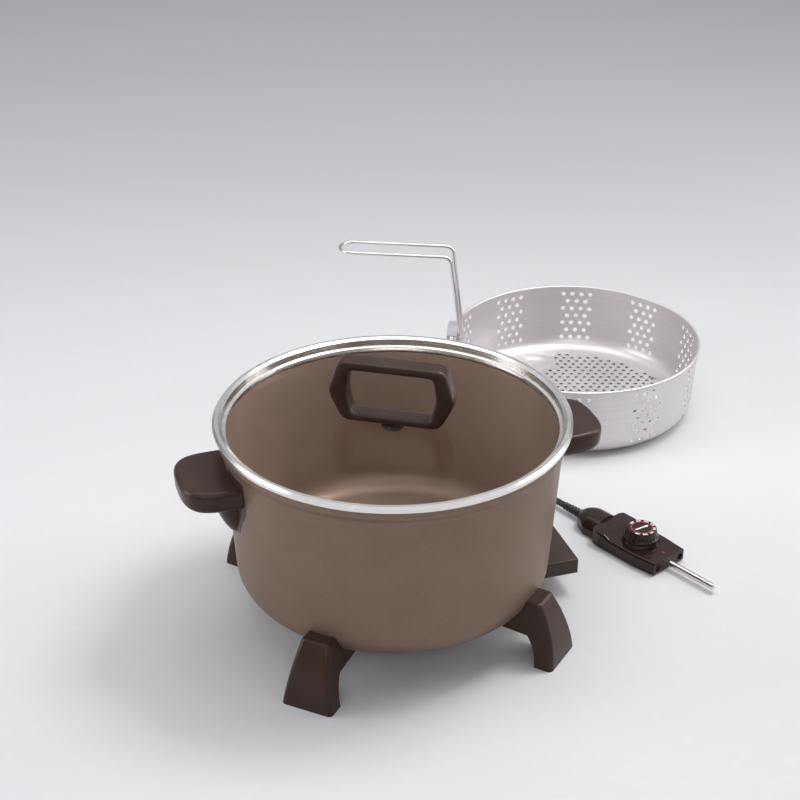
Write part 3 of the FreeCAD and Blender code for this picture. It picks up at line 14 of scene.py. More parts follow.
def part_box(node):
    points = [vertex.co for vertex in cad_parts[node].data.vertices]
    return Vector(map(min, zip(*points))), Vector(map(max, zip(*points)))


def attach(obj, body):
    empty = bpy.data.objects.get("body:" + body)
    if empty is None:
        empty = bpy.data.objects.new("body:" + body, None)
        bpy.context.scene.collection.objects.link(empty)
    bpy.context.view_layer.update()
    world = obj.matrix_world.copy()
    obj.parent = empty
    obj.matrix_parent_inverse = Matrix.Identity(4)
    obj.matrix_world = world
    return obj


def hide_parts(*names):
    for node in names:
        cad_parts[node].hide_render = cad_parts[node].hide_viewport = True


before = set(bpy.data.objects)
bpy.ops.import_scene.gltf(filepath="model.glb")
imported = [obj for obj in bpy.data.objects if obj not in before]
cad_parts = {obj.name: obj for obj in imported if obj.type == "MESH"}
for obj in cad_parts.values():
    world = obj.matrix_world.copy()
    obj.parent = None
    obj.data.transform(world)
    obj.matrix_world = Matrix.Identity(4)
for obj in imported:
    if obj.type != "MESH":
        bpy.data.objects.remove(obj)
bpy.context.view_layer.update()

bl_info = {
    "name": "Kettle Dressing",
    "version": (1, 0, 0),
    "blender": (4, 5, 0),
    "location": "View3D > Sidebar > Kettle",
    "description": "Finishes and fine forms for a kettle, its cover, basket and heat control",
    "category": "Object",
}

MM = 0.001
FULL_TURN = 2 * math.pi


# Settings

class FinishColours(bpy.types.PropertyGroup):
    """Colours of the finishes."""

    coating: bpy.props.FloatVectorProperty(
        name="Coating", description="Dark coating of the pot", subtype="COLOR",
        default=(0.205, 0.138, 0.098), min=0.0, max=1.0)
    coating_fleck: bpy.props.FloatVectorProperty(
        name="Coating fleck", description="Pale flecks in the coating", subtype="COLOR",
        default=(0.36, 0.265, 0.205), min=0.0, max=1.0)
    moulding: bpy.props.FloatVectorProperty(
        name="Moulding", description="Handles, legs and cover loop", subtype="COLOR",
        default=(0.044, 0.0230, 0.0178), min=0.0, max=1.0)
    housing: bpy.props.FloatVectorProperty(
        name="Housing", description="Glossy housing of the heat control", subtype="COLOR",
        default=(0.023, 0.0110, 0.0085), min=0.0, max=1.0)
    sheet: bpy.props.FloatVectorProperty(
        name="Basket sheet", description="Pale satin sheet of the basket", subtype="COLOR",
        default=(0.73, 0.70, 0.71), min=0.0, max=1.0)
    jacket: bpy.props.FloatVectorProperty(
        name="Jacket", description="Jacket of the supply cord", subtype="COLOR",
        default=(0.016, 0.012, 0.011), min=0.0, max=1.0)
    marks: bpy.props.FloatVectorProperty(
        name="Marks", description="Pale numbers and pointer of the dial", subtype="COLOR",
        default=(0.88, 0.86, 0.84), min=0.0, max=1.0)
    mark_ring: bpy.props.FloatVectorProperty(
        name="Mark ring", description="Red ring on the dial", subtype="COLOR",
        default=(0.30, 0.035, 0.045), min=0.0, max=1.0)


class LoopSizes(bpy.types.PropertyGroup):
    """Hexagonal loop of the cover, from its base over its waist to its top."""

    turn: bpy.props.FloatProperty(
        name="Turn", description="Direction of the loop on the cover", subtype="ANGLE",
        default=math.radians(-31.5))
    outer_widths: bpy.props.FloatVectorProperty(
        name="Outer widths", description="Width outside at the base, the waist and the top", size=3,
        unit="LENGTH", default=(0.088, 0.1135, 0.094))
    outer_heights: bpy.props.FloatVectorProperty(
        name="Outer heights", description="Height outside at the base, the waist and the top", size=3,
        unit="LENGTH", default=(0.0, 0.026, 0.057))
    inner_widths: bpy.props.FloatVectorProperty(
        name="Inner widths", description="Width of the opening at its base, waist and top", size=3,
        unit="LENGTH", default=(0.070, 0.080, 0.074))
    inner_heights: bpy.props.FloatVectorProperty(
        name="Inner heights", description="Height of the opening at its base, waist and top", size=3,
        unit="LENGTH", default=(0.007, 0.027, 0.0485))
    depth: bpy.props.FloatProperty(
        name="Depth", description="Thickness of the loop across its opening", unit="LENGTH", default=0.019)
    corner: bpy.props.FloatProperty(
        name="Corner", description="Length over which a corner is rounded", unit="LENGTH", default=0.012)
    squareness: bpy.props.FloatProperty(
        name="Squareness", description="Form of the bar's section, from round (2) to square", min=2.0,
        default=4.6)


class BasketSizes(bpy.types.PropertyGroup):
    """Sizes of the perforated basket."""

    centre: bpy.props.FloatVectorProperty(
        name="Centre", description="Middle of the basket on the floor", size=2, subtype="XYZ",
        default=(0.3147, 0.3153), unit="LENGTH")
    turn: bpy.props.FloatProperty(
        name="Turn", description="Direction of the bracket", subtype="ANGLE", default=math.radians(155.9))
    height: bpy.props.FloatProperty(
        name="Height", description="Top of the rolled rim", unit="LENGTH", default=0.0825)
    top_radius: bpy.props.FloatProperty(
        name="Top radius", description="Outside of the wall under the rim", unit="LENGTH", default=0.1364)
    base_radius: bpy.props.FloatProperty(
        name="Base radius", description="Outside of the wall carried down to the base", unit="LENGTH",
        default=0.1323)
    corner: bpy.props.FloatProperty(
        name="Corner", description="Outside radius between wall and floor", unit="LENGTH", default=0.0164)
    sheet: bpy.props.FloatProperty(
        name="Sheet", description="Thickness of the sheet", unit="LENGTH", default=0.0013)
    foot: bpy.props.FloatProperty(
        name="Foot", description="Height of the pressed feet", unit="LENGTH", default=0.003)
    wall_hole: bpy.props.FloatProperty(
        name="Wall hole", description="Diameter of the holes in the wall", unit="LENGTH", default=0.0054)
    floor_hole: bpy.props.FloatProperty(
        name="Floor hole", description="Diameter of the holes in the floor", unit="LENGTH", default=0.0046)
    floor_pitch: bpy.props.FloatProperty(
        name="Floor pitch", description="Spacing of the holes in a row of the floor", unit="LENGTH",
        default=0.0096)
    floor_turn: bpy.props.FloatProperty(
        name="Floor turn", description="Direction of the rows of holes in the floor", subtype="ANGLE",
        default=math.radians(-17.5))


class HandleSizes(bpy.types.PropertyGroup):
    """Side handles on the tapered wall of the pot."""

    wall_low: bpy.props.FloatVectorProperty(
        name="Wall low", description="Radius and height of the pot's wall at its base", size=2,
        unit="LENGTH", default=(0.140, 0.0355))
    wall_high: bpy.props.FloatVectorProperty(
        name="Wall high", description="Radius and height of the pot's wall at its rim", size=2,
        unit="LENGTH", default=(0.1495, 0.193))
    top: bpy.props.FloatProperty(
        name="Top", description="Height of the grip's top", unit="LENGTH", default=0.170)
    thickness: bpy.props.FloatProperty(
        name="Thickness", description="From the grip's underside to its top", unit="LENGTH",
        default=0.0217)
    reach: bpy.props.FloatProperty(
        name="Reach", description="From the pot's axis to the tip of the grip", unit="LENGTH",
        default=0.1933)
    width: bpy.props.FloatProperty(
        name="Width", description="Width of the grip at the wall", unit="LENGTH", default=0.077)
    top_round: bpy.props.FloatProperty(
        name="Top round", description="Radius of the grip's upper edge", unit="LENGTH", default=0.005)
    under_round: bpy.props.FloatProperty(
        name="Under round", description="Radius of the grip's lower edge", unit="LENGTH", default=0.008)
    apron_bottom: bpy.props.FloatProperty(
        name="Apron bottom", description="Height of the apron's tip", unit="LENGTH", default=0.109)
    apron_width: bpy.props.FloatProperty(
        name="Apron width", description="Width of the apron under the grip", unit="LENGTH", default=0.046)
    apron_depth: bpy.props.FloatProperty(
        name="Apron depth", description="How far the apron stands out under the grip", unit="LENGTH",
        default=0.017)
    collar_top: bpy.props.FloatProperty(
        name="Collar top", description="Height of the top of the collar on the wall", unit="LENGTH",
        default=0.1765)
    collar_width: bpy.props.FloatProperty(
        name="Collar width", description="Greatest width of the collar on the wall", unit="LENGTH",
        default=0.082)
    collar_depth: bpy.props.FloatProperty(
        name="Collar depth", description="How far the collar stands out of the wall", unit="LENGTH",
        default=0.002)


class ControlSizes(bpy.types.PropertyGroup):
    """Place of the heat control and sizes of its dial."""

    nose: bpy.props.FloatVectorProperty(
        name="Nose", description="Middle of the front of the nose at the height of the probe", size=3,
        subtype="XYZ", default=(0.2681, -0.0276, 0.007), unit="LENGTH")
    turn: bpy.props.FloatProperty(
        name="Turn", description="Direction of the probe", subtype="ANGLE", default=math.radians(-66.5))
    length: bpy.props.FloatProperty(
        name="Length", description="From the nose to the rear of the housing", unit="LENGTH", default=0.112)
    dial_behind: bpy.props.FloatProperty(
        name="Dial behind", description="From the nose to the dial's axis", unit="LENGTH", default=0.036)
    dial_low: bpy.props.FloatProperty(
        name="Dial low", description="Underside of the dial", unit="LENGTH", default=0.019)
    dial_height: bpy.props.FloatProperty(
        name="Dial height", description="From its underside to its top", unit="LENGTH", default=0.0105)
    dial_radius: bpy.props.FloatProperty(
        name="Dial radius", description="Radius of the dial's skirt", unit="LENGTH", default=0.017)
    crown_radius: bpy.props.FloatProperty(
        name="Crown radius", description="Radius of the dial under its top edge", unit="LENGTH",
        default=0.0143)
    relief_inside: bpy.props.FloatProperty(
        name="Relief inside", description="Length of the bend relief in the housing", unit="LENGTH",
        default=0.012)
    relief_outside: bpy.props.FloatProperty(
        name="Relief outside", description="Length of the bend relief behind the housing", unit="LENGTH",
        default=0.024)


class CordSizes(bpy.types.PropertyGroup):
    """Sizes of the supply cord, its coil and its plug."""

    diameter: bpy.props.FloatProperty(
        name="Diameter", description="Thickness of the cord", unit="LENGTH", default=0.0066)
    length: bpy.props.FloatProperty(
        name="Length", description="Length of the cord with its coil", unit="LENGTH", default=0.745)
    coil_radius: bpy.props.FloatProperty(
        name="Coil radius", description="Radius of the outermost turn", unit="LENGTH", default=0.038)
    coil_pitch: bpy.props.FloatProperty(
        name="Coil pitch", description="Step from turn to turn", unit="LENGTH", default=0.0075)
    coil_middle: bpy.props.FloatVectorProperty(
        name="Coil middle", description="Middle of the coil on the floor", size=2, subtype="XYZ",
        default=(0.075, 0.252), unit="LENGTH")
    tail: bpy.props.FloatProperty(
        name="Tail", description="Straight run on both ends of the coil", unit="LENGTH", default=0.016)
    low_layer: bpy.props.FloatProperty(
        name="Low layer", description="Height of the lower layer of the coil", unit="LENGTH",
        default=0.0044)
    high_layer: bpy.props.FloatProperty(
        name="High layer", description="Height of the upper layer of the coil", unit="LENGTH",
        default=0.0118)


class StageSettings(bpy.types.PropertyGroup):
    """Camera, floor and light."""

    eye: bpy.props.FloatVectorProperty(
        name="Eye", description="Place of the camera", size=3, subtype="TRANSLATION", unit="LENGTH",
        default=(-0.3693, -1.1711, 0.871))
    lens: bpy.props.FloatProperty(
        name="Lens", description="Focal length in millimetres", default=72.44)
    azimuth: bpy.props.FloatProperty(
        name="Azimuth", description="Direction of view about the upright axis", subtype="ANGLE",
        default=math.radians(-17.8))
    pitch: bpy.props.FloatProperty(
        name="Pitch", description="Downward tilt of the view", subtype="ANGLE", default=math.radians(28.2))
    roll: bpy.props.FloatProperty(
        name="Roll", description="Turn of the view about its own axis", subtype="ANGLE",
        default=math.radians(0.1))
    floor: bpy.props.FloatVectorProperty(
        name="Floor", description="Colour of the floor", subtype="COLOR", default=(0.66, 0.66, 0.67),
        min=0.0, max=1.0)
    floor_fleck: bpy.props.FloatVectorProperty(
        name="Floor fleck", description="Faint unevenness of the floor", subtype="COLOR",
        default=(0.68, 0.68, 0.69), min=0.0, max=1.0)


# Node helpers

def add_node(tree, kind, **settings):
    """A new node of a kind, with its settings."""
    made = tree.nodes.new(kind)
    for name, value in settings.items():
        setattr(made, name, value)
    return made


def feed(tree, target, source):
    """Links a socket to an input, or sets the input to a plain value."""
    if isinstance(source, bpy.types.NodeSocket):
        tree.links.new(source, target)
    else:
        target.default_value = source


def maths(tree, operation, first, second):
    """Result of a Math node."""
    made = add_node(tree, "ShaderNodeMath", operation=operation)
    feed(tree, made.inputs[0], first)
    feed(tree, made.inputs[1], second)
    return made.outputs[0]


def ramp_between(tree, value, low, high, to_low=0.0, to_high=1.0):
    """Value carried smoothly from one range to another."""
    made = add_node(tree, "ShaderNodeMapRange", interpolation_type="SMOOTHSTEP")
    for name, source in (("Value", value), ("From Min", low), ("From Max", high),
                         ("To Min", to_low), ("To Max", to_high)):
        feed(tree, made.inputs[name], source)
    return made.outputs["Result"]


def colour_between(tree, share, first, second):
    """Colour between two by a share."""
    made = add_node(tree, "ShaderNodeMix", data_type="RGBA")
    feed(tree, made.inputs[0], share)
    feed(tree, made.inputs[6], first)
    feed(tree, made.inputs[7], second)
    return made.outputs[2]


def noise(tree, vector, scale, detail=2.0, roughness=0.5):
    """Noise value at a scale per metre."""
    made = add_node(tree, "ShaderNodeTexNoise")
    feed(tree, made.inputs["Vector"], vector)
    feed(tree, made.inputs["Scale"], scale)
    feed(tree, made.inputs["Detail"], detail)
    feed(tree, made.inputs["Roughness"], roughness)
    return made.outputs["Fac"]


def new_group(name, inputs, outputs):
    """Empty node group with named sockets: (kind, name, default) for inputs, (kind, name) for outputs."""
    tree = bpy.data.node_groups.new(name, "ShaderNodeTree")
    for kind, label, default in inputs:
        socket = tree.interface.new_socket(label, in_out="INPUT", socket_type=kind)
        if default is not None:
            socket.default_value = default
    for kind, label in outputs:
        tree.interface.new_socket(label, in_out="OUTPUT", socket_type=kind)
    return tree, tree.nodes.new("NodeGroupInput"), tree.nodes.new("NodeGroupOutput")


FLOAT = "NodeSocketFloat"
COLOUR = "NodeSocketColor"
VECTOR = "NodeSocketVector"


def fleck_group():
    """Fine pale flecks and a slow unevenness of colour, with a matching height."""
    tree, source, result = new_group(
        "coating_flecks",
        [(VECTOR, "Vector", None), (FLOAT, "Scale", 1500.0), (COLOUR, "Ground", (0.1, 0.1, 0.1, 1)),
         (COLOUR, "Fleck", (0.2, 0.2, 0.2, 1)), (FLOAT, "Amount", 0.5)],
        [(COLOUR, "Color"), (FLOAT, "Height"), (FLOAT, "Roughness")])
    given = source.outputs
    fine = noise(tree, given["Vector"], given["Scale"], detail=1.0)
    slow = noise(tree, given["Vector"], scale=26.0, detail=3.0)
    share = ramp_between(tree, fine, low=0.54, high=0.72)
    share = maths(tree, "MULTIPLY", share, given["Amount"])
    flecked = colour_between(tree, share, given["Ground"], given["Fleck"])
    shade = ramp_between(tree, slow, low=0.3, high=0.7, to_high=0.14)
    feed(tree, result.inputs["Color"], colour_between(tree, shade, flecked, given["Fleck"]))
    feed(tree, result.inputs["Height"], fine)
    roughness = ramp_between(tree, slow, low=0.25, high=0.75, to_low=0.4, to_high=0.5)
    feed(tree, result.inputs["Roughness"], roughness)
    return tree


def grain_group():
    """Grain of a moulded skin: fine pits, slow sheen changes and handling smudges."""
    tree, source, result = new_group(
        "moulded_grain",
        [(VECTOR, "Vector", None), (FLOAT, "Scale", 1400.0), (COLOUR, "Ground", (0.1, 0.1, 0.1, 1)),
         (FLOAT, "Smooth", 0.35), (FLOAT, "Dull", 0.5)],
        [(COLOUR, "Color"), (FLOAT, "Height"), (FLOAT, "Roughness")])
    given = source.outputs
    cells = add_node(tree, "ShaderNodeTexVoronoi", feature="SMOOTH_F1")
    feed(tree, cells.inputs["Vector"], given["Vector"])
    feed(tree, cells.inputs["Scale"], given["Scale"])
    slow = noise(tree, given["Vector"], scale=34.0, detail=4.0)
    smudge = noise(tree, given["Vector"], scale=120.0, detail=5.0, roughness=0.65)
    shade = ramp_between(tree, slow, low=0.3, high=0.75, to_low=0.94, to_high=1.12)
    scaled = add_node(tree, "ShaderNodeVectorMath", operation="SCALE")
    feed(tree, scaled.inputs[0], given["Ground"])
    feed(tree, scaled.inputs["Scale"], shade)
    feed(tree, result.inputs["Color"], scaled.outputs["Vector"])
    feed(tree, result.inputs["Height"], cells.outputs["Distance"])
    faint_smudge = maths(tree, "MULTIPLY", smudge, 0.4)
    both = maths(tree, "ADD", slow, faint_smudge)
    roughness = ramp_between(tree, both, low=0.45, high=0.95,
                             to_low=given["Smooth"], to_high=given["Dull"])
    feed(tree, result.inputs["Roughness"], roughness)
    return tree


def lathe_group():
    """Fine rings left by spinning or polishing about the upright axis of the given vector, with painted
    shade that darkens the colour along the ring lines.
    """
    tree, source, result = new_group(
        "turning_rings",
        [(VECTOR, "Vector", None), (FLOAT, "Scale", 2200.0), (COLOUR, "Ground", (0.5, 0.5, 0.5, 1)),
         (FLOAT, "Smooth", 0.2), (FLOAT, "Dull", 0.35)],
        [(COLOUR, "Color"), (FLOAT, "Height"), (FLOAT, "Roughness")])
    given = source.outputs
    parts = add_node(tree, "ShaderNodeSeparateXYZ")
    feed(tree, parts.inputs[0], given["Vector"])
    flat = add_node(tree, "ShaderNodeCombineXYZ")
    feed(tree, flat.inputs["X"], parts.outputs["X"])
    feed(tree, flat.inputs["Y"], parts.outputs["Y"])
    reach = add_node(tree, "ShaderNodeVectorMath", operation="LENGTH")
    feed(tree, reach.inputs[0], flat.outputs[0])
    ringed = add_node(tree, "ShaderNodeCombineXYZ")
    feed(tree, ringed.inputs["X"], reach.outputs["Value"])
    feed(tree, ringed.inputs["Y"], parts.outputs["Z"])
    lines = noise(tree, ringed.outputs[0], given["Scale"], detail=3.0, roughness=0.6)
    slow = noise(tree, given["Vector"], scale=30.0, detail=3.0)
    share = ramp_between(tree, lines, low=0.3, high=0.75, to_high=0.22)
    # Painted shade: the ring lines pull the ground colour halfway towards a near-black grey.
    painted_ring_shade = (0.08, 0.07, 0.07, 1.0)
    ring_shaded_ground = colour_between(tree, 0.5, given["Ground"], painted_ring_shade)
    feed(tree, result.inputs["Color"], colour_between(tree, share, given["Ground"], ring_shaded_ground))
    feed(tree, result.inputs["Height"], lines)
    both = maths(tree, "MULTIPLY", slow, lines)
    roughness = ramp_between(tree, both, low=0.12, high=0.4,
                             to_low=given["Smooth"], to_high=given["Dull"])
    feed(tree, result.inputs["Roughness"], roughness)
    return tree


GROUPS = {}
FINISHES = {}


def shared(name):
    """The node group of an effect, built once."""
    makers = {"flecks": fleck_group, "grain": grain_group, "rings": lathe_group}
    if name not in GROUPS:
        GROUPS[name] = makers[name]()
    return GROUPS[name]


def finish(name, effect, values, bump, shader_values, centre=(0.0, 0.0, 0.0)):
    """Material whose colour, roughness and bump come from one shared effect on Object coordinates.

    Values go to the effect, shader values to the shader. The bump is a strength and a depth in metres."""
    if name in FINISHES:
        return FINISHES[name]
    material = bpy.data.materials.new(f"finish_{name}")
    FINISHES[name] = material
    material.use_nodes = True
    tree = material.node_tree
    shader = tree.nodes["Principled BSDF"]
    place = add_node(tree, "ShaderNodeTexCoord")
    moved = add_node(tree, "ShaderNodeMapping")
    moved.inputs["Location"].default_value = [-part for part in centre]
    feed(tree, moved.inputs["Vector"], place.outputs["Object"])
    made = add_node(tree, "ShaderNodeGroup", node_tree=shared(effect))
    feed(tree, made.inputs["Vector"], moved.outputs[0])
    for label, value in values.items():
        made.inputs[label].default_value = value
    feed(tree, shader.inputs["Base Color"], made.outputs["Color"])
    feed(tree, shader.inputs["Roughness"], made.outputs["Roughness"])
    lift = add_node(tree, "ShaderNodeBump")
    lift.inputs["Strength"].default_value = bump[0]
    lift.inputs["Distance"].default_value = bump[1]
    feed(tree, lift.inputs["Height"], made.outputs["Height"])
    feed(tree, shader.inputs["Normal"], lift.outputs[0])
    for label, value in shader_values.items():
        shader.inputs[label].default_value = value
    return material


def opaque(colour):
    """A colour property with full alpha."""
    return (*colour, 1.0)


def colours():
    """The colour settings of the scene."""
    return bpy.context.scene.kettle_colours


def coating():
    """Flecked dark coating of the pot."""
    tones = colours()
    return finish("pot_coating", "flecks",
                  {"Scale": 1900.0, "Ground": opaque(tones.coating),
                   "Fleck": opaque(tones.coating_fleck), "Amount": 0.5},
                  bump=(0.08, 0.0002), shader_values={"Metallic": 0.4, "Specular IOR Level": 0.32})


def moulding():
    """Brown grained moulding of the handles, the legs and the loop."""
    return finish("handle_moulding", "grain",
                  {"Scale": 1500.0, "Ground": opaque(colours().moulding), "Smooth": 0.3, "Dull": 0.335},
                  bump=(0.06, 0.0001), shader_values={"Specular IOR Level": 0.26})


def housing_gloss():
    """Glossy moulding of the heat control."""
    return finish("housing_gloss", "grain",
                  {"Scale": 900.0, "Ground": opaque(colours().housing), "Smooth": 0.07, "Dull": 0.16},
                  bump=(0.015, 0.0001),
                  shader_values={"Specular IOR Level": 0.3, "Coat Weight": 0.06, "Coat Roughness": 0.03})


def bright_steel():
    """Polished steel with fine rings about the middle of the kettle."""
    return finish("bright_steel", "rings",
                  {"Scale": 2600.0, "Ground": (0.88, 0.86, 0.83, 1.0), "Smooth": 0.17, "Dull": 0.32},
                  bump=(0.03, 0.0001), shader_values={"Metallic": 1.0})


def basket_sheet(centre):
    """Satin sheet with rings about the middle of the basket."""
    return finish("basket_sheet", "rings",
                  {"Scale": 1500.0, "Ground": opaque(colours().sheet), "Smooth": 0.34, "Dull": 0.5},
                  bump=(0.05, 0.0001), shader_values={"Metallic": 0.75}, centre=centre)


def plated_wire():
    """Bright plated wire."""
    return finish("plated_wire", "grain",
                  {"Scale": 700.0, "Ground": (0.72, 0.69, 0.68, 1.0), "Smooth": 0.12, "Dull": 0.25},
                  bump=(0.02, 0.0001), shader_values={"Metallic": 1.0})


def dull_steel():
    """Plain steel of screws and shafts."""
    return finish("dull_steel", "grain",
                  {"Scale": 900.0, "Ground": (0.38, 0.37, 0.36, 1.0), "Smooth": 0.3, "Dull": 0.5},
                  bump=(0.06, 0.0001), shader_values={"Metallic": 1.0})


def cast_aluminium():
    """Rough cast block."""
    return finish("cast_aluminium", "flecks",
                  {"Scale": 1100.0, "Ground": (0.50, 0.49, 0.48, 1.0), "Fleck": (0.62, 0.61, 0.60, 1.0),
                   "Amount": 0.7},
                  bump=(0.25, 0.0002), shader_values={"Metallic": 0.9})


def guard_paint():
    """Dark paint of the guard round the pins."""
    return finish("guard_paint", "grain",
                  {"Scale": 1300.0, "Ground": (0.055, 0.036, 0.029, 1.0), "Smooth": 0.35, "Dull": 0.5},
                  bump=(0.1, 0.0001), shader_values={"Specular IOR Level": 0.3})


def soft_seal():
    """Dark soft seal."""
    return finish("soft_seal", "grain",
                  {"Scale": 1500.0, "Ground": (0.040, 0.030, 0.026, 1.0), "Smooth": 0.6, "Dull": 0.75},
                  bump=(0.15, 0.0001), shader_values={})


def switch_moulding():
    """Pale moulding of the switch block."""
    return finish("switch_moulding", "grain",
                  {"Scale": 1500.0, "Ground": (0.55, 0.50, 0.42, 1.0), "Smooth": 0.45, "Dull": 0.6},
                  bump=(0.1, 0.0001), shader_values={})


def contact_brass():
    """Brass of the contacts."""
    return finish("contact_brass", "grain",
                  {"Scale": 900.0, "Ground": (0.60, 0.44, 0.18, 1.0), "Smooth": 0.2, "Dull": 0.38},
                  bump=(0.04, 0.0001), shader_values={"Metallic": 1.0})


def cord_jacket():
    """Soft jacket of the cord and its mouldings."""
    return finish("cord_jacket", "grain",
                  {"Scale": 1100.0, "Ground": opaque(colours().jacket), "Smooth": 0.38, "Dull": 0.55},
                  bump=(0.1, 0.0001), shader_values={"Specular IOR Level": 0.45})


def print_paint(name, colour):
    """Printed mark in a colour."""
    return finish(name, "grain",
                  {"Scale": 1800.0, "Ground": colour, "Smooth": 0.35, "Dull": 0.5},
                  bump=(0.05, 0.00005), shader_values={})


def tie_strap():
    """Dull strap of the tie."""
    return finish("tie_strap", "grain",
                  {"Scale": 1300.0, "Ground": (0.045, 0.043, 0.042, 1.0), "Smooth": 0.4, "Dull": 0.55},
                  bump=(0.1, 0.0001), shader_values={})


def red_lens():
    """Dark red lens of the pilot light."""
    return finish("red_lens", "grain",
                  {"Scale": 700.0, "Ground": (0.07, 0.010, 0.008, 1.0), "Smooth": 0.08, "Dull": 0.16},
                  bump=(0.02, 0.0001), shader_values={"Coat Weight": 0.4, "Coat Roughness": 0.05})


def clear_glass():
    """Glass that lets lamps through, with a faint haze of smudges in its roughness."""
    material = bpy.data.materials.new("finish_clear_glass")
    material.use_nodes = True
    tree = material.node_tree
    shader = tree.nodes["Principled BSDF"]
    shader.inputs["Transmission Weight"].default_value = 1.0
    shader.inputs["IOR"].default_value = 1.1
    shader.inputs["Specular IOR Level"].default_value = 0.2
    shader.inputs["Base Color"].default_value = (0.99, 0.985, 0.98, 1.0)
    place = add_node(tree, "ShaderNodeTexCoord")
    smudge = noise(tree, place.outputs["Object"], scale=45.0, detail=4.0, roughness=0.6)
    feed(tree, shader.inputs["Roughness"], ramp_between(tree, smudge, low=0.5, high=0.85, to_high=0.012))
    clear = add_node(tree, "ShaderNodeBsdfTransparent")
    path = add_node(tree, "ShaderNodeLightPath")
    both = add_node(tree, "ShaderNodeMixShader")
    feed(tree, both.inputs[0], path.outputs["Is Shadow Ray"])
    feed(tree, both.inputs[1], shader.outputs[0])
    feed(tree, both.inputs[2], clear.outputs[0])
    feed(tree, tree.nodes["Material Output"].inputs["Surface"], both.outputs[0])
    return material


# Mesh helpers

SHARP_EDGE = math.radians(40.0)
WORD_WEIGHT = 0.035
WORD_STEPS = 3
WORD_SEAM = 0.001


def smooth_step(value):
    """Smooth step from 0 to 1: s^2 (3 - 2 s), with s the value held between 0 and 1."""
    share = np.clip(value, 0, 1)
    return share * share * (3 - 2 * share)


def rotated(x, y, turn):
    """Points of a plan turned about the origin: (x cos turn - y sin turn, x sin turn + y cos turn)."""
    return np.stack([x * math.cos(turn) - y * math.sin(turn), x * math.sin(turn) + y * math.cos(turn)], -1)


def put_mesh(name, pieces):
    """One object from pieces of (points in metres, faces, material), smooth except across sharp edges."""
    points = np.concatenate([piece[0] for piece in pieces])
    faces = []
    slots = []
    materials = []
    start = 0
    for piece_points, piece_faces, material in pieces:
        faces += [[corner + start for corner in face] for face in piece_faces]
        start += len(piece_points)
        if material not in materials:
            materials.append(material)
        slots += [materials.index(material)] * len(piece_faces)
    mesh = bpy.data.meshes.new(name)
    mesh.from_pydata(points.tolist(), [], faces)
    for material in materials:
        mesh.materials.append(material)
    mesh.polygons.foreach_set("material_index", slots)
    mesh.shade_smooth()
    mesh.set_sharp_from_angle(angle=SHARP_EDGE)
    made = bpy.data.objects.new(name, mesh)
    bpy.context.scene.collection.objects.link(made)
    return made


def ring_quads(rows, columns, start=0, closed_rows=False):
    """Faces between neighbouring rows of a grid whose columns close round."""
    row = np.arange(rows if closed_rows else rows - 1)[:, None]
    column = np.arange(columns)[None, :]
    below = row * columns
    above = (row + 1) % rows * columns
    beside = (column + 1) % columns
    corners = [below + column, below + beside, above + beside, above + column]
    return np.stack(corners, -1).reshape(-1, 4) + start


def turned(profile, columns):
    """Points of a profile of (radius, height) carried round the upright axis, row by row."""
    angle = np.arange(columns) * FULL_TURN / columns
    radius = profile[:, 0][:, None]
    height = np.broadcast_to(profile[:, 1][:, None], (len(profile), columns))
    return np.stack([radius * np.cos(angle), radius * np.sin(angle), height], -1).reshape(-1, 3)


def skin(radius, height, ends):
    """Closed surface round the upright axis, with a radius for each row and column and a point at each end.

    Point (row, turn) = (radius cos turn, radius sin turn, height of the row)."""
    rows, columns = radius.shape
    angle = np.arange(columns) * FULL_TURN / columns
    level = np.broadcast_to(np.asarray(height)[:, None], radius.shape)
    grid = np.stack([radius * np.cos(angle), radius * np.sin(angle), level], -1).reshape(-1, 3)
    points = np.concatenate([grid, [[0, 0, ends[0]], [0, 0, ends[1]]]])
    ring = np.arange(columns)
    beside = (ring + 1) % columns
    last = (rows - 1) * columns
    low = np.stack([np.full(columns, len(grid)), beside, ring], -1)
    high = np.stack([np.full(columns, len(grid) + 1), last + ring, last + beside], -1)
    return points, ring_quads(rows, columns).tolist() + low.tolist() + high.tolist()


def laid(points, origin, way):
    """Points whose upright axis is laid level along a direction on the floor plan."""
    along = np.array([way[0], way[1], 0.0])
    up = np.array([0.0, 0.0, 1.0])
    return np.asarray(origin) + points @ np.stack([np.cross(up, along), up, along])


def word_solid(words, size, thickness):
    """Points and faces of a word, flat about the origin, with its seams closed."""
    curve = bpy.data.curves.new("word", "FONT")
    curve.body = words
    curve.size = size
    curve.align_x = "CENTER"
    curve.align_y = "CENTER"
    curve.extrude = thickness / 2
    curve.offset = size * WORD_WEIGHT
    curve.resolution_u = WORD_STEPS
    holder = bpy.data.objects.new("word", curve)
    mesh = bpy.data.meshes.new_from_object(holder)
    work = bmesh.new()
    work.from_mesh(mesh)
    bmesh.ops.remove_doubles(work, verts=work.verts, dist=size * WORD_SEAM)
    points = np.array([vertex.co for vertex in work.verts])
    work.verts.index_update()
    faces = [[vertex.index for vertex in face.verts] for face in work.faces]
    work.free()
    bpy.data.objects.remove(holder)
    bpy.data.curves.remove(curve)
    bpy.data.meshes.remove(mesh)
    return points, faces


def set_finish(material, *names):
    """Gives solids of the frame a finish."""
    for name in names:
        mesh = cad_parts[name].data
        mesh.materials.clear()
        mesh.materials.append(material)


# Loop of the cover

LOOP_COLUMNS = 300
BAR_COLUMNS = 32


def hexagon(widths, heights):
    """Corners of a loop from its base round to its other base corner, as (across, height), closed."""
    half = np.array(widths) / 2
    level = np.array(heights)
    return np.column_stack([np.concatenate([half, -half[::-1], half[:1]]),
                            np.concatenate([level, level[::-1], level[:1]])])


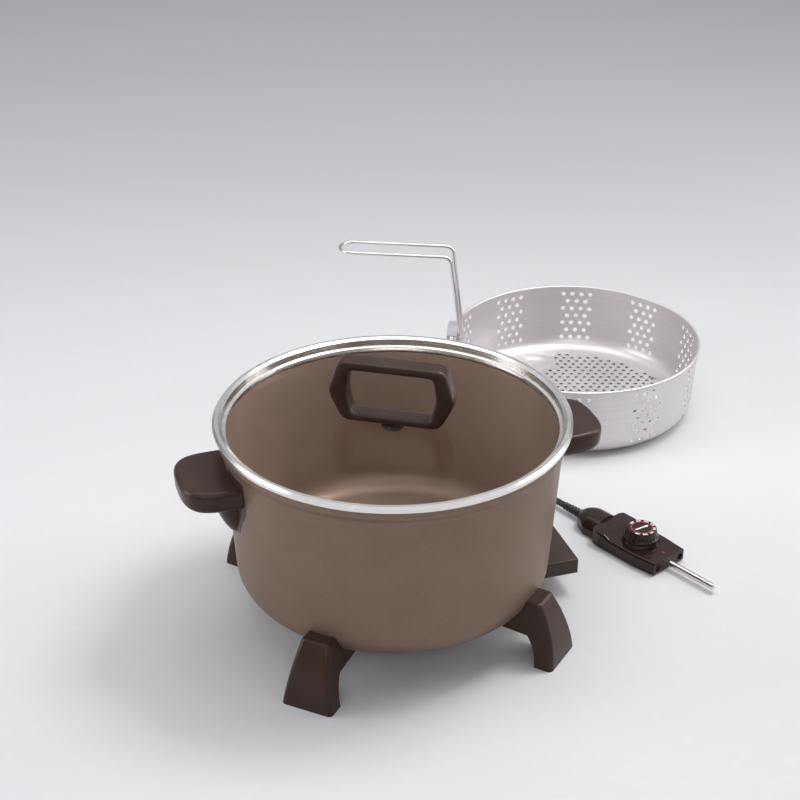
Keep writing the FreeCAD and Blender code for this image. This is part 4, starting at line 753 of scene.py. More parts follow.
def loop_skin(sizes, base):
    """Bar with a rounded square section carried round a hexagon.

    Point (t, s) = middle(t) + half bar(t) * cos(s)^(2/n) + half depth * sin(s)^(2/n) across, where n is
    the squareness, and the middle and the bar come from the outer and inner hexagons, averaged over the
    corner length along the outer one."""
    outer = hexagon(sizes.outer_widths, sizes.outer_heights)
    inner = hexagon(sizes.inner_widths, sizes.inner_heights)
    run = np.concatenate([[0], np.cumsum(np.linalg.norm(np.diff(outer, axis=0), axis=1))])
    place = np.arange(LOOP_COLUMNS) * run[-1] / LOOP_COLUMNS
    both = np.column_stack([outer, inner])
    sides = np.stack([np.interp(place, run, line) for line in both.T], -1)
    apart = np.minimum(place, run[-1] - place)
    weight = np.clip(1 + np.cos(math.pi * np.clip(apart / sizes.corner, 0, 1)), 0, None)
    blur = np.fft.fft(weight / weight.sum())[:, None]
    soft = np.fft.ifft(np.fft.fft(sides, axis=0) * blur, axis=0).real
    middle = (soft[:, :2] + soft[:, 2:]) / 2
    bar = (soft[:, :2] - soft[:, 2:]) / 2
    turn = np.arange(BAR_COLUMNS) * FULL_TURN / BAR_COLUMNS
    power = 2 / sizes.squareness
    out = np.sign(np.cos(turn)) * np.abs(np.cos(turn)) ** power
    side = np.sign(np.sin(turn)) * np.abs(np.sin(turn)) ** power
    flat = middle[:, None] + bar[:, None] * out[:, None]
    depth = np.broadcast_to(sizes.depth / 2 * side, flat.shape[:2])
    plan = rotated(flat[..., 0], -depth, sizes.turn)
    points = np.concatenate([plan, base + flat[..., 1:]], -1).reshape(-1, 3)
    return points, ring_quads(LOOP_COLUMNS, BAR_COLUMNS, closed_rows=True)[:, ::-1].tolist()


# Side handles

LAP_COLUMNS = 60
BACK_COLUMNS = 20
WALL_SINK = 0.0008
GRIP_SQUARENESS = 4.4
GRIP_EDGE_STEPS = 9
GRIP_WALL_SHARE = 0.8
GRIP_FLAT_EDGE = 0.004
GRIP_CROWN_INSETS = np.array([0.004, 0.009])
GRIP_CROWN_DROPS = np.array([0.0002, 0.0])
GRIP_EDGE_DROP = 0.0005
APRON_SQUARENESS = 2.6
APRON_ROWS = 24
APRON_TIP = 0.1
APRON_LAP = 0.004
APRON_WIDTH_POWER = 2.6
APRON_DEPTH_POWER = 0.6
COLLAR_SQUARENESS = 7.0
COLLAR_RISES = np.concatenate([[0.0], np.linspace(0.01, 0.98, 28), [1.0]])
COLLAR_FOOT = 0.006
COLLAR_FOOT_WIDTH = 0.52
COLLAR_SPREAD = 0.6
COLLAR_LOW_EDGE = 0.04
COLLAR_HIGH_EDGE = 0.03
COLLAR_EDGE_LOSS = 0.06
COLLAR_LEAST_EDGE = 0.01


def wall_lap(sizes, width, depth, height, squareness):
    """Closed form that laps on the pot's wall, with a width and a depth for each height.

    Row: across = width / 2 * sin(t)^(2/n), out = wall + depth * cos(t)^(2/n) for t from -90 to 90 degrees,
    then back along the wall, where wall = sqrt(radius(height)^2 - across^2) and n is the squareness."""
    turn = np.linspace(-math.pi / 2, math.pi / 2, LAP_COLUMNS)
    power = 2 / squareness
    back = np.linspace(1, -1, BACK_COLUMNS + 2)[1:-1]
    across = np.concatenate([np.sign(turn) * np.abs(np.sin(turn)) ** power, back])
    out = np.concatenate([np.abs(np.cos(turn)) ** power, np.zeros(BACK_COLUMNS)])
    across = width[:, None] / 2 * across
    (low_radius, low), (high_radius, high) = sizes.wall_low, sizes.wall_high
    radius = low_radius + (high_radius - low_radius) * (height - low) / (high - low) - WALL_SINK
    along = np.sqrt(radius[:, None] ** 2 - across ** 2) + depth[:, None] * out
    rows, columns = along.shape
    level = np.broadcast_to(height[:, None], along.shape)
    points = np.stack([along, across, level], -1).reshape(-1, 3)
    ring = np.arange(columns)
    caps = [ring[::-1].tolist(), (ring + (rows - 1) * columns).tolist()]
    return points, ring_quads(rows, columns).tolist() + caps


def grip_form(sizes):
    """Grip with rounded edges and a top that is crowned a little.

    Lower edge: inset = round (1 - sin t), rise = round (1 - cos t) for t from 0 to 90 degrees.
    Upper edge: inset = round (1 - cos t), drop = round (1 - sin t)."""
    quarter = np.linspace(0, math.pi / 2, GRIP_EDGE_STEPS)
    bottom = sizes.top - sizes.thickness
    under = sizes.under_round
    over = sizes.top_round
    inset = np.concatenate([[under + GRIP_FLAT_EDGE], under * (1 - np.sin(quarter)),
                            over * (1 - np.cos(quarter)), over + GRIP_CROWN_INSETS])
    height = np.concatenate([[bottom], bottom + under * (1 - np.cos(quarter)),
                             sizes.top - GRIP_EDGE_DROP - over * (1 - np.sin(quarter)),
                             sizes.top - GRIP_CROWN_DROPS])
    wall = sizes.wall_low[0] + GRIP_WALL_SHARE * (sizes.wall_high[0] - sizes.wall_low[0])
    return wall_lap(sizes, sizes.width - 2 * inset, sizes.reach - wall - inset, height, GRIP_SQUARENESS)


def apron_form(sizes):
    """Tongue under the grip, widest and deepest where it meets the grip.

    With the rise from 0 at the tip to 1, width = full (1 - (1 - rise)^p)^0.5 and
    depth = full sin(90 degrees rise)^q."""
    end = sizes.top - sizes.thickness + APRON_LAP
    rise = np.linspace(APRON_TIP, 1, APRON_ROWS) ** 2
    height = sizes.apron_bottom + rise * (end - sizes.apron_bottom)
    width = sizes.apron_width * (1 - (1 - rise) ** APRON_WIDTH_POWER) ** 0.5
    depth = sizes.apron_depth * np.sin(rise * math.pi / 2) ** APRON_DEPTH_POWER
    return wall_lap(sizes, width, depth, height, APRON_SQUARENESS)


def collar_form(sizes):
    """Thin collar on the wall behind the grip and its apron, narrow at its foot.

    The width grows by a smooth step of the rise, and a quarter circle thins it at its foot and its top."""
    foot = sizes.apron_bottom + COLLAR_FOOT
    taper = COLLAR_FOOT_WIDTH + (1 - COLLAR_FOOT_WIDTH) * smooth_step(COLLAR_RISES / COLLAR_SPREAD)
    near_foot = 1 - COLLAR_RISES / COLLAR_LOW_EDGE
    near_top = 1 - (1 - COLLAR_RISES) / COLLAR_HIGH_EDGE
    nearness = np.maximum(near_foot, near_top).clip(0, 1)
    edge = np.sqrt(np.clip(1 - nearness ** 2, COLLAR_LEAST_EDGE, 1))
    width = sizes.collar_width * taper * (1 - COLLAR_EDGE_LOSS * (1 - edge))
    height = foot + COLLAR_RISES * (sizes.collar_top - foot)
    return wall_lap(sizes, width, sizes.collar_depth * edge, height, COLLAR_SQUARENESS)


# Basket, worked out in millimetres about its own axis

WALL_COLUMNS = 320
CELL_STEPS = 4
HALF_CELL = CELL_STEPS // 2
HOLE_CORNERS = 4 * CELL_STEPS
ARC_ROWS = 9
FIRST_HOLE_ROW = ARC_ROWS - 1
HOLE_GROUPS = 10
HOLE_ROWS = 7
WIDE_ROW = 4
HOLE_ROW_PITCH = 9.2
LOWEST_HOLES = 12.6
RIM_DROPS = np.array([3.9, 3.2])
BEAD_RADIUS = 1.5
BEAD_DROP = 1.55
BEAD_OUT = 0.05
BEAD_ARC = np.radians(np.linspace(-80.0, 170.0, 11))
STAGGERED_ROW = math.sqrt(0.75)
FIELD_CELLS = 13
FIELD_RADIUS = 108.5
FOOT_ANGLES = np.radians([180.0, 60.0, -60.0])
FOOT_CIRCLE = 93.0
FOOT_CLEARANCE = 25.0
FOOT_FLAT = 12.0
FOOT_RADIUS = 21.5


def cell_rim():
    """Steps (across, up) of the grid points round a cell, from its low left corner, turning left."""
    run = np.arange(CELL_STEPS)
    none = np.zeros(CELL_STEPS, int)
    full = none + CELL_STEPS
    across = np.concatenate([run, full, CELL_STEPS - run, none])
    up = np.concatenate([none, run, full, CELL_STEPS - run])
    return across, up


def hole_circle():
    """Cosine and sine of the corners of a hole, in the order of the cell's rim."""
    low_left = -0.75 * math.pi
    angle = low_left + np.arange(HOLE_CORNERS) * FULL_TURN / HOLE_CORNERS
    return np.cos(angle), np.sin(angle)


def hole_collars(rim_points, first_corner):
    """Faces between the rim of each cell and the corners of its hole."""
    corner = first_corner + np.arange(rim_points.size).reshape(rim_points.shape)
    beside = np.roll(rim_points, -1, 1)
    return np.stack([rim_points, beside, np.roll(corner, -1, 1), corner], -1).reshape(-1, 4)


def hole_edges(first_corner, end_corner, inside):
    """Faces through the sheet round each hole, from its corners outside to those inside."""
    corner = np.arange(first_corner, end_corner).reshape(-1, HOLE_CORNERS)
    beside = np.roll(corner, -1, 1)
    return np.stack([corner, beside, beside + inside, corner + inside], -1).reshape(-1, 4)


def solid_faces(rows, columns, starts):
    """Which faces of a grid stay when the cells with these low left corners are taken out."""
    kept = np.ones((rows, columns), bool)
    steps = np.arange(CELL_STEPS)
    row = starts[:, 0][:, None, None] + steps[None, :, None]
    column = starts[:, 1][:, None, None] + steps[None, None, :]
    kept[row, column % columns] = False
    return kept


def basket_wall(sizes):
    """Profiles of the wall as (radius, height): outside, inside and rolled rim.

    An arc, radius = hub + corner sin t, height = foot + corner (1 - cos t), goes over into a leaning line,
    radius = base + lean (height - foot). The inside lies one sheet off along the normal, and the rim is an
    arc of a circle."""
    foot = sizes.foot / MM
    corner = sizes.corner / MM
    base = sizes.base_radius / MM
    height = sizes.height / MM
    lean = (sizes.top_radius / MM - base) / (height - foot)
    hub = base - corner
    bowed = corner + lean * (LOWEST_HOLES - foot)
    arc = np.linspace(0.0, math.acos(1 - (LOWEST_HOLES - foot) / corner), ARC_ROWS)
    straight = LOWEST_HOLES + np.arange(1, HOLE_ROWS * CELL_STEPS + 1) * HOLE_ROW_PITCH / CELL_STEPS
    rise = np.clip((straight - foot) / corner, 0, 1)
    bow = hub + bowed * np.sqrt(1 - (1 - rise) ** 2)
    line = base + lean * (straight - foot)
    wall_radius = np.minimum(bow + lean * (straight - LOWEST_HOLES), line)
    upper = height - RIM_DROPS
    radius = np.concatenate([hub + bowed * np.sin(arc), wall_radius, base + lean * (upper - foot)])
    level = np.concatenate([foot + corner * (1 - np.cos(arc)), straight, upper])
    outer = np.stack([radius, level], -1)
    slope = np.gradient(outer, axis=0)
    normal = np.stack([slope[:, 1], -slope[:, 0]], -1)
    normal /= np.linalg.norm(normal, axis=1)[:, None]
    normal[0] = (0.0, -1.0)
    inner = outer - normal * sizes.sheet / MM
    bead_middle = np.array([outer[-1, 0] + BEAD_OUT, height - BEAD_DROP])
    bead = bead_middle + BEAD_RADIUS * np.stack([np.cos(BEAD_ARC), np.sin(BEAD_ARC)], -1)
    return outer, inner, bead


def wall_holes():
    """Low left corners (row, column) of the wall's cells: groups with rows of four and three by turns."""
    group_step = WALL_COLUMNS // HOLE_GROUPS
    starts = []
    for group in range(HOLE_GROUPS):
        middle = group_step * group + group_step // 2
        for row in range(HOLE_ROWS):
            count = WIDE_ROW - row % 2
            first = middle - count * HALF_CELL
            level = FIRST_HOLE_ROW + row * CELL_STEPS
            starts += [(level, first + number * CELL_STEPS) for number in range(count)]
    return np.array(starts)


def wall_side(profile, starts, sizes):
    """Points of one side of the wall: the grid, then the corners of the holes.

    A hole's corners lie on a circle round the middle of its cell, in fractional rows and columns."""
    cosine, sine = hole_circle()
    sample = FIRST_HOLE_ROW + 2 * CELL_STEPS
    row_height = np.linalg.norm(profile[sample + 1] - profile[sample])
    column_width = FULL_TURN / WALL_COLUMNS * profile[sample + 1, 0]
    reach = sizes.wall_hole / MM / 2
    row = starts[:, 0][:, None] + HALF_CELL + reach / row_height * sine
    column = starts[:, 1][:, None] + HALF_CELL + reach / column_width * cosine
    steps = np.arange(len(profile))
    radius = np.interp(row, steps, profile[:, 0])
    height = np.interp(row, steps, profile[:, 1])
    angle = column * FULL_TURN / WALL_COLUMNS
    corners = np.stack([radius * np.cos(angle), radius * np.sin(angle), height], -1).reshape(-1, 3)
    return np.concatenate([turned(profile, WALL_COLUMNS), corners])


def foot_distance(flat):
    """Distance of points of the floor from the middle of the nearest foot."""
    feet = FOOT_CIRCLE * np.stack([np.cos(FOOT_ANGLES), np.sin(FOOT_ANGLES)], -1)
    return np.min(np.linalg.norm(flat[..., None, :] - feet, axis=-1), axis=-1)


def basket_floor(sizes):
    """Floor on a grid: staggered cells with holes inside a round field, pressed down into three feet.

    Height = foot smooth_step((distance from a foot - its flat) / its slope). Returns the points of the
    underside, the faces, the first hole corner, and the angles and points of the field's edge in order."""
    turn = sizes.floor_turn - sizes.turn
    step_x = sizes.floor_pitch / MM / CELL_STEPS
    step_y = step_x * STAGGERED_ROW
    size = 2 * (FIELD_CELLS + 2) * CELL_STEPS
    middle = size // 2
    lines = np.arange(size + 1) - middle
    flat = rotated(*np.meshgrid(lines * step_x, lines * step_y), turn)

    row, number = np.mgrid[-FIELD_CELLS:FIELD_CELLS + 1, -FIELD_CELLS - 1:FIELD_CELLS + 2]
    shift = HALF_CELL * (row % 2)
    cells = middle + np.stack([row * CELL_STEPS, number * CELL_STEPS + shift], -1).reshape(-1, 2)
    cells = cells[np.linalg.norm(flat[cells[:, 0], cells[:, 1]], axis=1) <= FIELD_RADIUS]
    holes = cells[foot_distance(flat[cells[:, 0], cells[:, 1]]) > FOOT_CLEARANCE]
    hole_middles = flat[holes[:, 0], holes[:, 1]]
    holes = holes - HALF_CELL
    standing = ~solid_faces(size, size, cells - HALF_CELL)

    neighbours = np.zeros((size + 1, size + 1), int)
    for down in (0, 1):
        for along in (0, 1):
            neighbours[down:size + down, along:size + along] += standing
    used = neighbours > 0
    index = np.full(used.shape, -1)
    index[used] = np.arange(used.sum())
    row, column = np.nonzero(standing & solid_faces(size, size, holes))
    faces = np.stack([index[row, column], index[row, column + 1],
                      index[row + 1, column + 1], index[row + 1, column]], -1)
    across, up = cell_rim()
    rim_points = index[holes[:, 0][:, None] + up, holes[:, 1][:, None] + across]
    faces = np.concatenate([faces, hole_collars(rim_points, used.sum())])

    circle = sizes.floor_hole / MM / 2 * rotated(*hole_circle(), turn)
    corners = hole_middles[:, None] + circle
    plan = np.concatenate([flat[used], corners.reshape(-1, 2)])
    slope = (foot_distance(plan) - FOOT_FLAT) / (FOOT_RADIUS - FOOT_FLAT)
    points = np.column_stack([plan, sizes.foot / MM * smooth_step(slope)])
    edge = used & (neighbours < 4)
    edge_angle = np.arctan2(flat[edge][:, 1], flat[edge][:, 0]) % FULL_TURN
    order = np.argsort(edge_angle)
    return points, faces, used.sum(), edge_angle[order], index[edge][order]


def zipper(loop_angle, loop_index, ring_angle, ring_index):
    """Triangles between two loops sorted by angle: each step along either loop makes one."""
    events = np.concatenate([loop_angle, ring_angle])
    on_ring = np.concatenate([np.zeros(len(loop_angle), bool), np.ones(len(ring_angle), bool)])
    on_ring = on_ring[np.argsort(events, kind="stable")]
    loop_now = np.cumsum(~on_ring) - 1
    ring_now = np.cumsum(on_ring) - 1
    loop_before = np.where(on_ring, loop_now, loop_now - 1) % len(loop_angle)
    ring_before = np.where(on_ring, ring_now - 1, ring_now) % len(ring_angle)
    newest_loop = loop_index[loop_now % len(loop_angle)]
    newest_ring = ring_index[ring_now % len(ring_angle)]
    newest = np.where(on_ring, newest_ring, newest_loop)
    return np.stack([loop_index[loop_before], ring_index[ring_before], newest], -1)


def build_basket(sizes):
    """Perforated basket as one closed shell: floor field, stitched ring, wall, rim and hole edges.

    The inside has the faces of the outside turned round, on points that follow those of the outside."""
    outer, inner, bead = basket_wall(sizes)
    rows = len(outer)
    starts = wall_holes()
    across, up = cell_rim()
    kept = solid_faces(rows - 1, WALL_COLUMNS, starts)
    wall_faces = ring_quads(rows, WALL_COLUMNS).reshape(rows - 1, WALL_COLUMNS, 4)[kept]
    rim_rows = starts[:, 0][:, None] + up
    rim_columns = (starts[:, 1][:, None] + across) % WALL_COLUMNS
    wall_corners = rows * WALL_COLUMNS
    collars = hole_collars(rim_rows * WALL_COLUMNS + rim_columns, wall_corners)
    wall_out = wall_side(outer, starts, sizes)
    wall_in = wall_side(inner, starts, sizes)
    wall_count = len(wall_out)

    floor_out, floor_faces, floor_corners, edge_angle, edge_points = basket_floor(sizes)
    floor_in = floor_out + [0.0, 0.0, sizes.sheet / MM]
    ring = np.arange(WALL_COLUMNS)
    ring_angle = ring * FULL_TURN / WALL_COLUMNS
    stitch = zipper(edge_angle, edge_points + wall_count, ring_angle, ring)
    inside = wall_count + len(floor_out)
    out_quads = np.concatenate([wall_faces, collars, floor_faces[:, ::-1] + wall_count])
    wall_edges = hole_edges(wall_corners, wall_count, inside)
    floor_edges = hole_edges(wall_count + floor_corners, inside, inside)[:, ::-1]

    beside = (ring + 1) % WALL_COLUMNS
    last_out = (rows - 1) * WALL_COLUMNS
    last_in = last_out + inside
    first_bead = 2 * inside
    last_bead = first_bead + (len(bead) - 1) * WALL_COLUMNS
    bead_quads = ring_quads(len(bead), WALL_COLUMNS, first_bead)
    under = np.stack([last_out + ring, last_out + beside, first_bead + beside, first_bead + ring], -1)
    over = np.stack([last_bead + ring, last_bead + beside, last_in + beside, last_in + ring], -1)

    points = np.concatenate([wall_out, floor_out, wall_in, floor_in, turned(bead, WALL_COLUMNS)]) * MM
    quads = [out_quads, out_quads[:, ::-1] + inside, wall_edges, floor_edges, bead_quads, under, over]
    triangles = [stitch, stitch[:, ::-1] + inside]
    faces = np.concatenate(quads).tolist() + np.concatenate(triangles).tolist()
    plan = rotated(points[:, 0], points[:, 1], sizes.turn) + np.array(sizes.centre)
    return np.column_stack([plan, points[:, 2]]), faces


# Heat control

FLUTES = 24
FLUTE_DEPTH = 0.0004
DIAL_COLUMNS = 288
SHAFT_RADIUS = 0.0024
FACE_SINK = 0.0004
FACE_MIDDLE = 0.004
DIAL_NUMBERS = ("200", "225", "250", "275", "300", "325", "350", "400")
FIRST_NUMBER = math.radians(116.5)
NUMBER_STEP = math.radians(36.0)
NUMBER_SIZE = 0.0031
NUMBER_RADIUS = 0.012
MARK_LIFT = 0.00008
RING_COLUMNS = 96
RING_INNER = 0.0095
RING_OUTER = 0.0107
POINTER_TURN = math.radians(13.0)
POINTER_TAIL = -0.0076
POINTER_NECK = 0.0044
POINTER_TIP = 0.008
POINTER_HALF = 0.0008
POINTER_BARB = 0.0019


def rearward(sizes):
    """Direction on the floor plan from the nose to the cord."""
    return np.array([-math.cos(sizes.turn), -math.sin(sizes.turn), 0.0])


def dial_skin(sizes):
    """Dial over (row, turn), bored from below for its shaft.

    Radius = profile - depth (1 - cos(flutes turn)) / 2. A row is its radius, its height and its depth."""
    low = sizes.dial_low
    top = low + sizes.dial_height
    face = top - FACE_SINK
    bore_end = low + sizes.dial_height / 2
    wide = sizes.dial_radius
    crown = sizes.crown_radius
    rows = np.array([
        (SHAFT_RADIUS, bore_end, 0),
        (SHAFT_RADIUS, low, 0),
        (wide - 0.0004, low, 0),
        (wide, low + 0.0004, 0),
        (wide, low + 0.0016, 0),
        (wide - 0.0004, low + 0.0021, 0),
        (wide - 0.0009, low + 0.0024, FLUTE_DEPTH / 3),
        (wide - 0.0012, low + 0.0034, FLUTE_DEPTH),
        (crown + 0.0004, top - 0.0024, FLUTE_DEPTH),
        (crown, top - 0.0013, FLUTE_DEPTH / 2),
        (crown - 0.0002, top - 0.0007, 0),
        (crown - 0.0005, top - 0.0003, 0),
        (crown - 0.0008, top - 0.0002, 0),
        (crown - 0.0010, face, 0),
        (FACE_MIDDLE, face, 0),
    ])
    angle = np.arange(DIAL_COLUMNS) * FULL_TURN / DIAL_COLUMNS
    wave = (1 - np.cos(FLUTES * angle)) / 2
    radius = rows[:, :1] - rows[:, 2:] * wave
    return skin(radius, rows[:, 1], (bore_end, face))


def dial_marks(face):
    """Numbers in an arc, a ring and a pointer, as thin solids that lie on the dial's face."""
    numbers = []
    for place, words in enumerate(DIAL_NUMBERS):
        angle = FIRST_NUMBER - place * NUMBER_STEP
        points, faces = word_solid(words, NUMBER_SIZE, 2 * MARK_LIFT)
        out = np.array([math.cos(angle), math.sin(angle), 0.0])
        clockwise = np.array([math.sin(angle), -math.cos(angle), 0.0])
        placed = points @ np.stack([clockwise, out, [0, 0, 1]]) + NUMBER_RADIUS * out + [0, 0, face]
        numbers.append((placed, faces))
    corners = np.array([(RING_OUTER, face - MARK_LIFT), (RING_OUTER, face + MARK_LIFT),
                        (RING_INNER, face + MARK_LIFT), (RING_INNER, face - MARK_LIFT)])
    ring = (turned(corners, RING_COLUMNS), ring_quads(4, RING_COLUMNS, closed_rows=True).tolist())
    outline = np.array([(POINTER_TAIL, -POINTER_HALF), (POINTER_NECK, -POINTER_HALF),
                        (POINTER_NECK, -POINTER_BARB), (POINTER_TIP, 0.0), (POINTER_NECK, POINTER_BARB),
                        (POINTER_NECK, POINTER_HALF), (POINTER_TAIL, POINTER_HALF)])
    flat = rotated(outline[:, 0], outline[:, 1], POINTER_TURN)
    count = len(flat)
    levels = [np.column_stack([flat, np.full(count, face + lift)]) for lift in (-MARK_LIFT, MARK_LIFT)]
    caps = [list(range(count))[::-1], list(range(count, 2 * count))]
    pointer = (np.concatenate(levels), ring_quads(2, count).tolist() + caps)
    return numbers, ring, pointer


# Cord, its bend relief, its tie and its plug

RELIEF_SHANK = 0.005
RELIEF_TIP = 0.0041
RELIEF_RINGS = 6
RELIEF_CUT = 0.0008
RELIEF_STEPS = 12
RELIEF_COLUMNS = 48
RELIEF_EDGE = 0.0004
RELIEF_END = 0.0006

# Plug and tie in millimetres
PLUG_COLUMNS = 96
NECK_LENGTH = 18.0
NECK_ROWS = 61
NECK_THIN = 4.6
NECK_THICK = 7.0
ROUND_POWER = 2.0
PLUG_RINGS = 5
PLUG_CUT = 0.8
SHOULDER_LENGTH = 5.0
SHOULDER = np.linspace(18.6, 23.0, 10)
BODY = np.linspace(23.4, 46.5, 70)
BODY_WIDE = 12.6
BODY_HIGH = 10.6
BODY_POWER = 3.6
RIDGES_START = 25.0
RIDGES_END = 45.0
FLANGE_ALONG = (47.0, 47.6, 51.2, 52.0)
FLANGE_WIDE = (13.1, 13.5, 13.5, 12.9)
FLANGE_HIGH = (11.2, 11.8, 11.8, 11.2)
FLANGE_POWER = 4.5
STRAP_SHEET = 0.8
STRAP_TOP = 15.5
STRAP_CORNER = 2.6
STRAP_HALF = 3.5
STRAP_ROOM = 3.7
STRAP_STEPS = 9

CORD_STRAIGHT = 0.026
CORD_LEVEL = 0.0034
COIL_RUN_IN = 0.018
COIL_TURN = 5 * math.pi
COIL_POINTS = 41


def relief_skin(sizes):
    """Bend relief along its axis: a cone cut by rings behind the housing.

    Radius = cone - depth sin(pi rings share)^2, with the share from 0 at the housing to 1 at the tip."""
    share = np.linspace(0, 1, RELIEF_STEPS * RELIEF_RINGS + 1)
    cone = RELIEF_SHANK + (RELIEF_TIP - RELIEF_SHANK) * share
    cut = RELIEF_CUT * np.sin(math.pi * RELIEF_RINGS * share) ** 2
    radius = np.concatenate([[RELIEF_SHANK - RELIEF_EDGE, RELIEF_SHANK], cone - cut,
                             [RELIEF_TIP - RELIEF_END]])
    height = np.concatenate([[-sizes.relief_inside, RELIEF_EDGE - sizes.relief_inside],
                             share * (sizes.relief_outside - RELIEF_END), [sizes.relief_outside]])
    return skin(np.broadcast_to(radius[:, None], (len(radius), RELIEF_COLUMNS)), height,
                (-sizes.relief_inside, sizes.relief_outside))


def plug_skin():
    """Plug along its axis, with sections |y / wide|^power + |z / high|^power = 1.

    A round neck is cut by rings, depth sin(pi rings share)^2. A shoulder carries it by a smooth step into
    the body, whose sides have ridges of the same form, and a flange ends it."""
    neck = np.linspace(0.0, NECK_LENGTH, NECK_ROWS)
    share = neck / NECK_LENGTH
    rings = PLUG_CUT * np.sin(math.pi * PLUG_RINGS * share) ** 2
    neck_radius = NECK_THIN + (NECK_THICK - NECK_THIN) * share - rings
    ease = smooth_step((SHOULDER - NECK_LENGTH) / SHOULDER_LENGTH)
    share = (BODY - RIDGES_START) / (RIDGES_END - RIDGES_START)
    ridge = PLUG_CUT * np.sin(math.pi * PLUG_RINGS * share) ** 2 * ((share > 0) & (share < 1))
    along = np.concatenate([neck, SHOULDER, BODY, FLANGE_ALONG])
    wide = np.concatenate([neck_radius, NECK_THICK + (BODY_WIDE - NECK_THICK) * ease,
                           BODY_WIDE - ridge, FLANGE_WIDE])
    high = np.concatenate([neck_radius, NECK_THICK + (BODY_HIGH - NECK_THICK) * ease,
                           np.full(len(BODY), BODY_HIGH), FLANGE_HIGH])
    power = np.concatenate([np.full(NECK_ROWS, ROUND_POWER),
                            ROUND_POWER + (BODY_POWER - ROUND_POWER) * ease,
                            np.full(len(BODY), BODY_POWER), np.full(len(FLANGE_ALONG), FLANGE_POWER)])
    power = power[:, None]
    angle = np.arange(PLUG_COLUMNS) * FULL_TURN / PLUG_COLUMNS
    inverse = (np.abs(np.cos(angle)) / wide[:, None]) ** power
    inverse += (np.abs(np.sin(angle)) / high[:, None]) ** power
    radius = inverse ** (-1 / power)
    return skin(radius * MM, along * MM, (0.0, FLANGE_ALONG[-1] * MM))


def tie_skin(sizes):
    """Strap round the coil: a rectangle with round corners, one sheet thick, pushed to both sides.

    Corner = middle + radius (cos t, sin t) over a quarter turn, four times round."""
    radius = sizes.coil_radius / MM
    pitch = sizes.coil_pitch / MM
    outer = radius - pitch / 4 + STRAP_ROOM
    inner = radius - 1.25 * pitch - STRAP_ROOM
    half_wide = (outer - inner) / 2
    half_high = (STRAP_TOP - STRAP_SHEET) / 2
    quarter = np.linspace(0, math.pi / 2, STRAP_STEPS)
    angle = (np.arange(4)[:, None] * math.pi / 2 + quarter).ravel()
    signs = np.repeat([(1, 1), (-1, 1), (-1, -1), (1, -1)], STRAP_STEPS, axis=0)
    out = np.stack([np.cos(angle), np.sin(angle)], -1)
    path = signs * [half_wide - STRAP_CORNER, half_high - STRAP_CORNER] + STRAP_CORNER * out
    outside = path + STRAP_SHEET * out
    loops = [(outside, -STRAP_HALF), (outside, STRAP_HALF), (path, STRAP_HALF), (path, -STRAP_HALF)]
    centre = np.array([-(outer + inner) / 2, 0.0, STRAP_SHEET + half_high])
    points = [np.column_stack([line[:, 0], np.full(len(line), across), line[:, 1]]) + centre
              for line, across in loops]
    faces = ring_quads(len(loops), len(path), closed_rows=True).tolist()
    return np.concatenate(points) * MM + [*sizes.coil_middle, 0.0], faces


def cord_route(sizes, control):
    """Points of the cord: straight out of the bend relief, down to the floor and round behind the kettle.

    Then it coils: inward on the lower layer, half a turn up and outward on the upper layer, with
    reach = radius - pitch turns and the height eased by a cosine."""
    away = rearward(control)
    start = np.array(control.nose) + (control.length + control.relief_outside) * away
    middle_x, middle_y = sizes.coil_middle
    radius = sizes.coil_radius
    tail = middle_x + sizes.tail
    lead = [
        start,
        start + CORD_STRAIGHT * away,
        (0.199, 0.150, CORD_LEVEL),
        (0.187, 0.178, CORD_LEVEL),
        (0.166, 0.199, CORD_LEVEL),
        (0.136, 0.211, CORD_LEVEL),
        (tail + COIL_RUN_IN, middle_y - radius, sizes.low_layer),
        (tail, middle_y - radius, sizes.low_layer),
    ]
    half_way = COIL_TURN / 2
    angle = np.linspace(0, COIL_TURN, COIL_POINTS)
    inward = half_way - np.abs(angle - half_way)
    reach = radius - sizes.coil_pitch * inward / FULL_TURN
    climb = np.clip((angle - half_way) / math.pi + 0.5, 0, 1)
    height = sizes.low_layer + (sizes.high_layer - sizes.low_layer) * (1 - np.cos(math.pi * climb)) / 2
    way = -math.pi / 2 - angle
    coil = np.column_stack([middle_x + reach * np.cos(way), middle_y + reach * np.sin(way), height])
    end = np.array([[tail, middle_y + radius, sizes.high_layer]])
    return np.concatenate([np.array(lead), coil, end])


def cord_curve(sizes, route):
    """Round cord along a route, as a smooth curve with closed ends."""
    curve = bpy.data.curves.new("supply_cord", "CURVE")
    curve.dimensions = "3D"
    curve.bevel_depth = sizes.diameter / 2
    curve.bevel_resolution = 6
    curve.resolution_u = 10
    curve.use_fill_caps = True
    spline = curve.splines.new("NURBS")
    spline.points.add(len(route) - 1)
    spline.points.foreach_set("co", np.column_stack([route, np.ones(len(route))]).ravel())
    spline.order_u = 3
    spline.use_endpoint_u = True
    curve.materials.append(cord_jacket())
    cord = bpy.data.objects.new("supply_cord", curve)
    bpy.context.scene.collection.objects.link(cord)
    return cord


# Operators

class KETTLE_OT_pot(bpy.types.Operator):
    """Coats the pot and finishes what is fixed under it"""

    bl_idname = "kettle.pot"
    bl_label = "Pot"

    def execute(self, context):
        set_finish(coating(), "pot_shell")
        set_finish(dull_steel(), "heating_element", "guard_screws", "handle_screws", "leg_screws")
        set_finish(bright_steel(), "terminal_pins")
        set_finish(cast_aluminium(), "probe_well")
        set_finish(guard_paint(), "probe_guard")
        return {"FINISHED"}


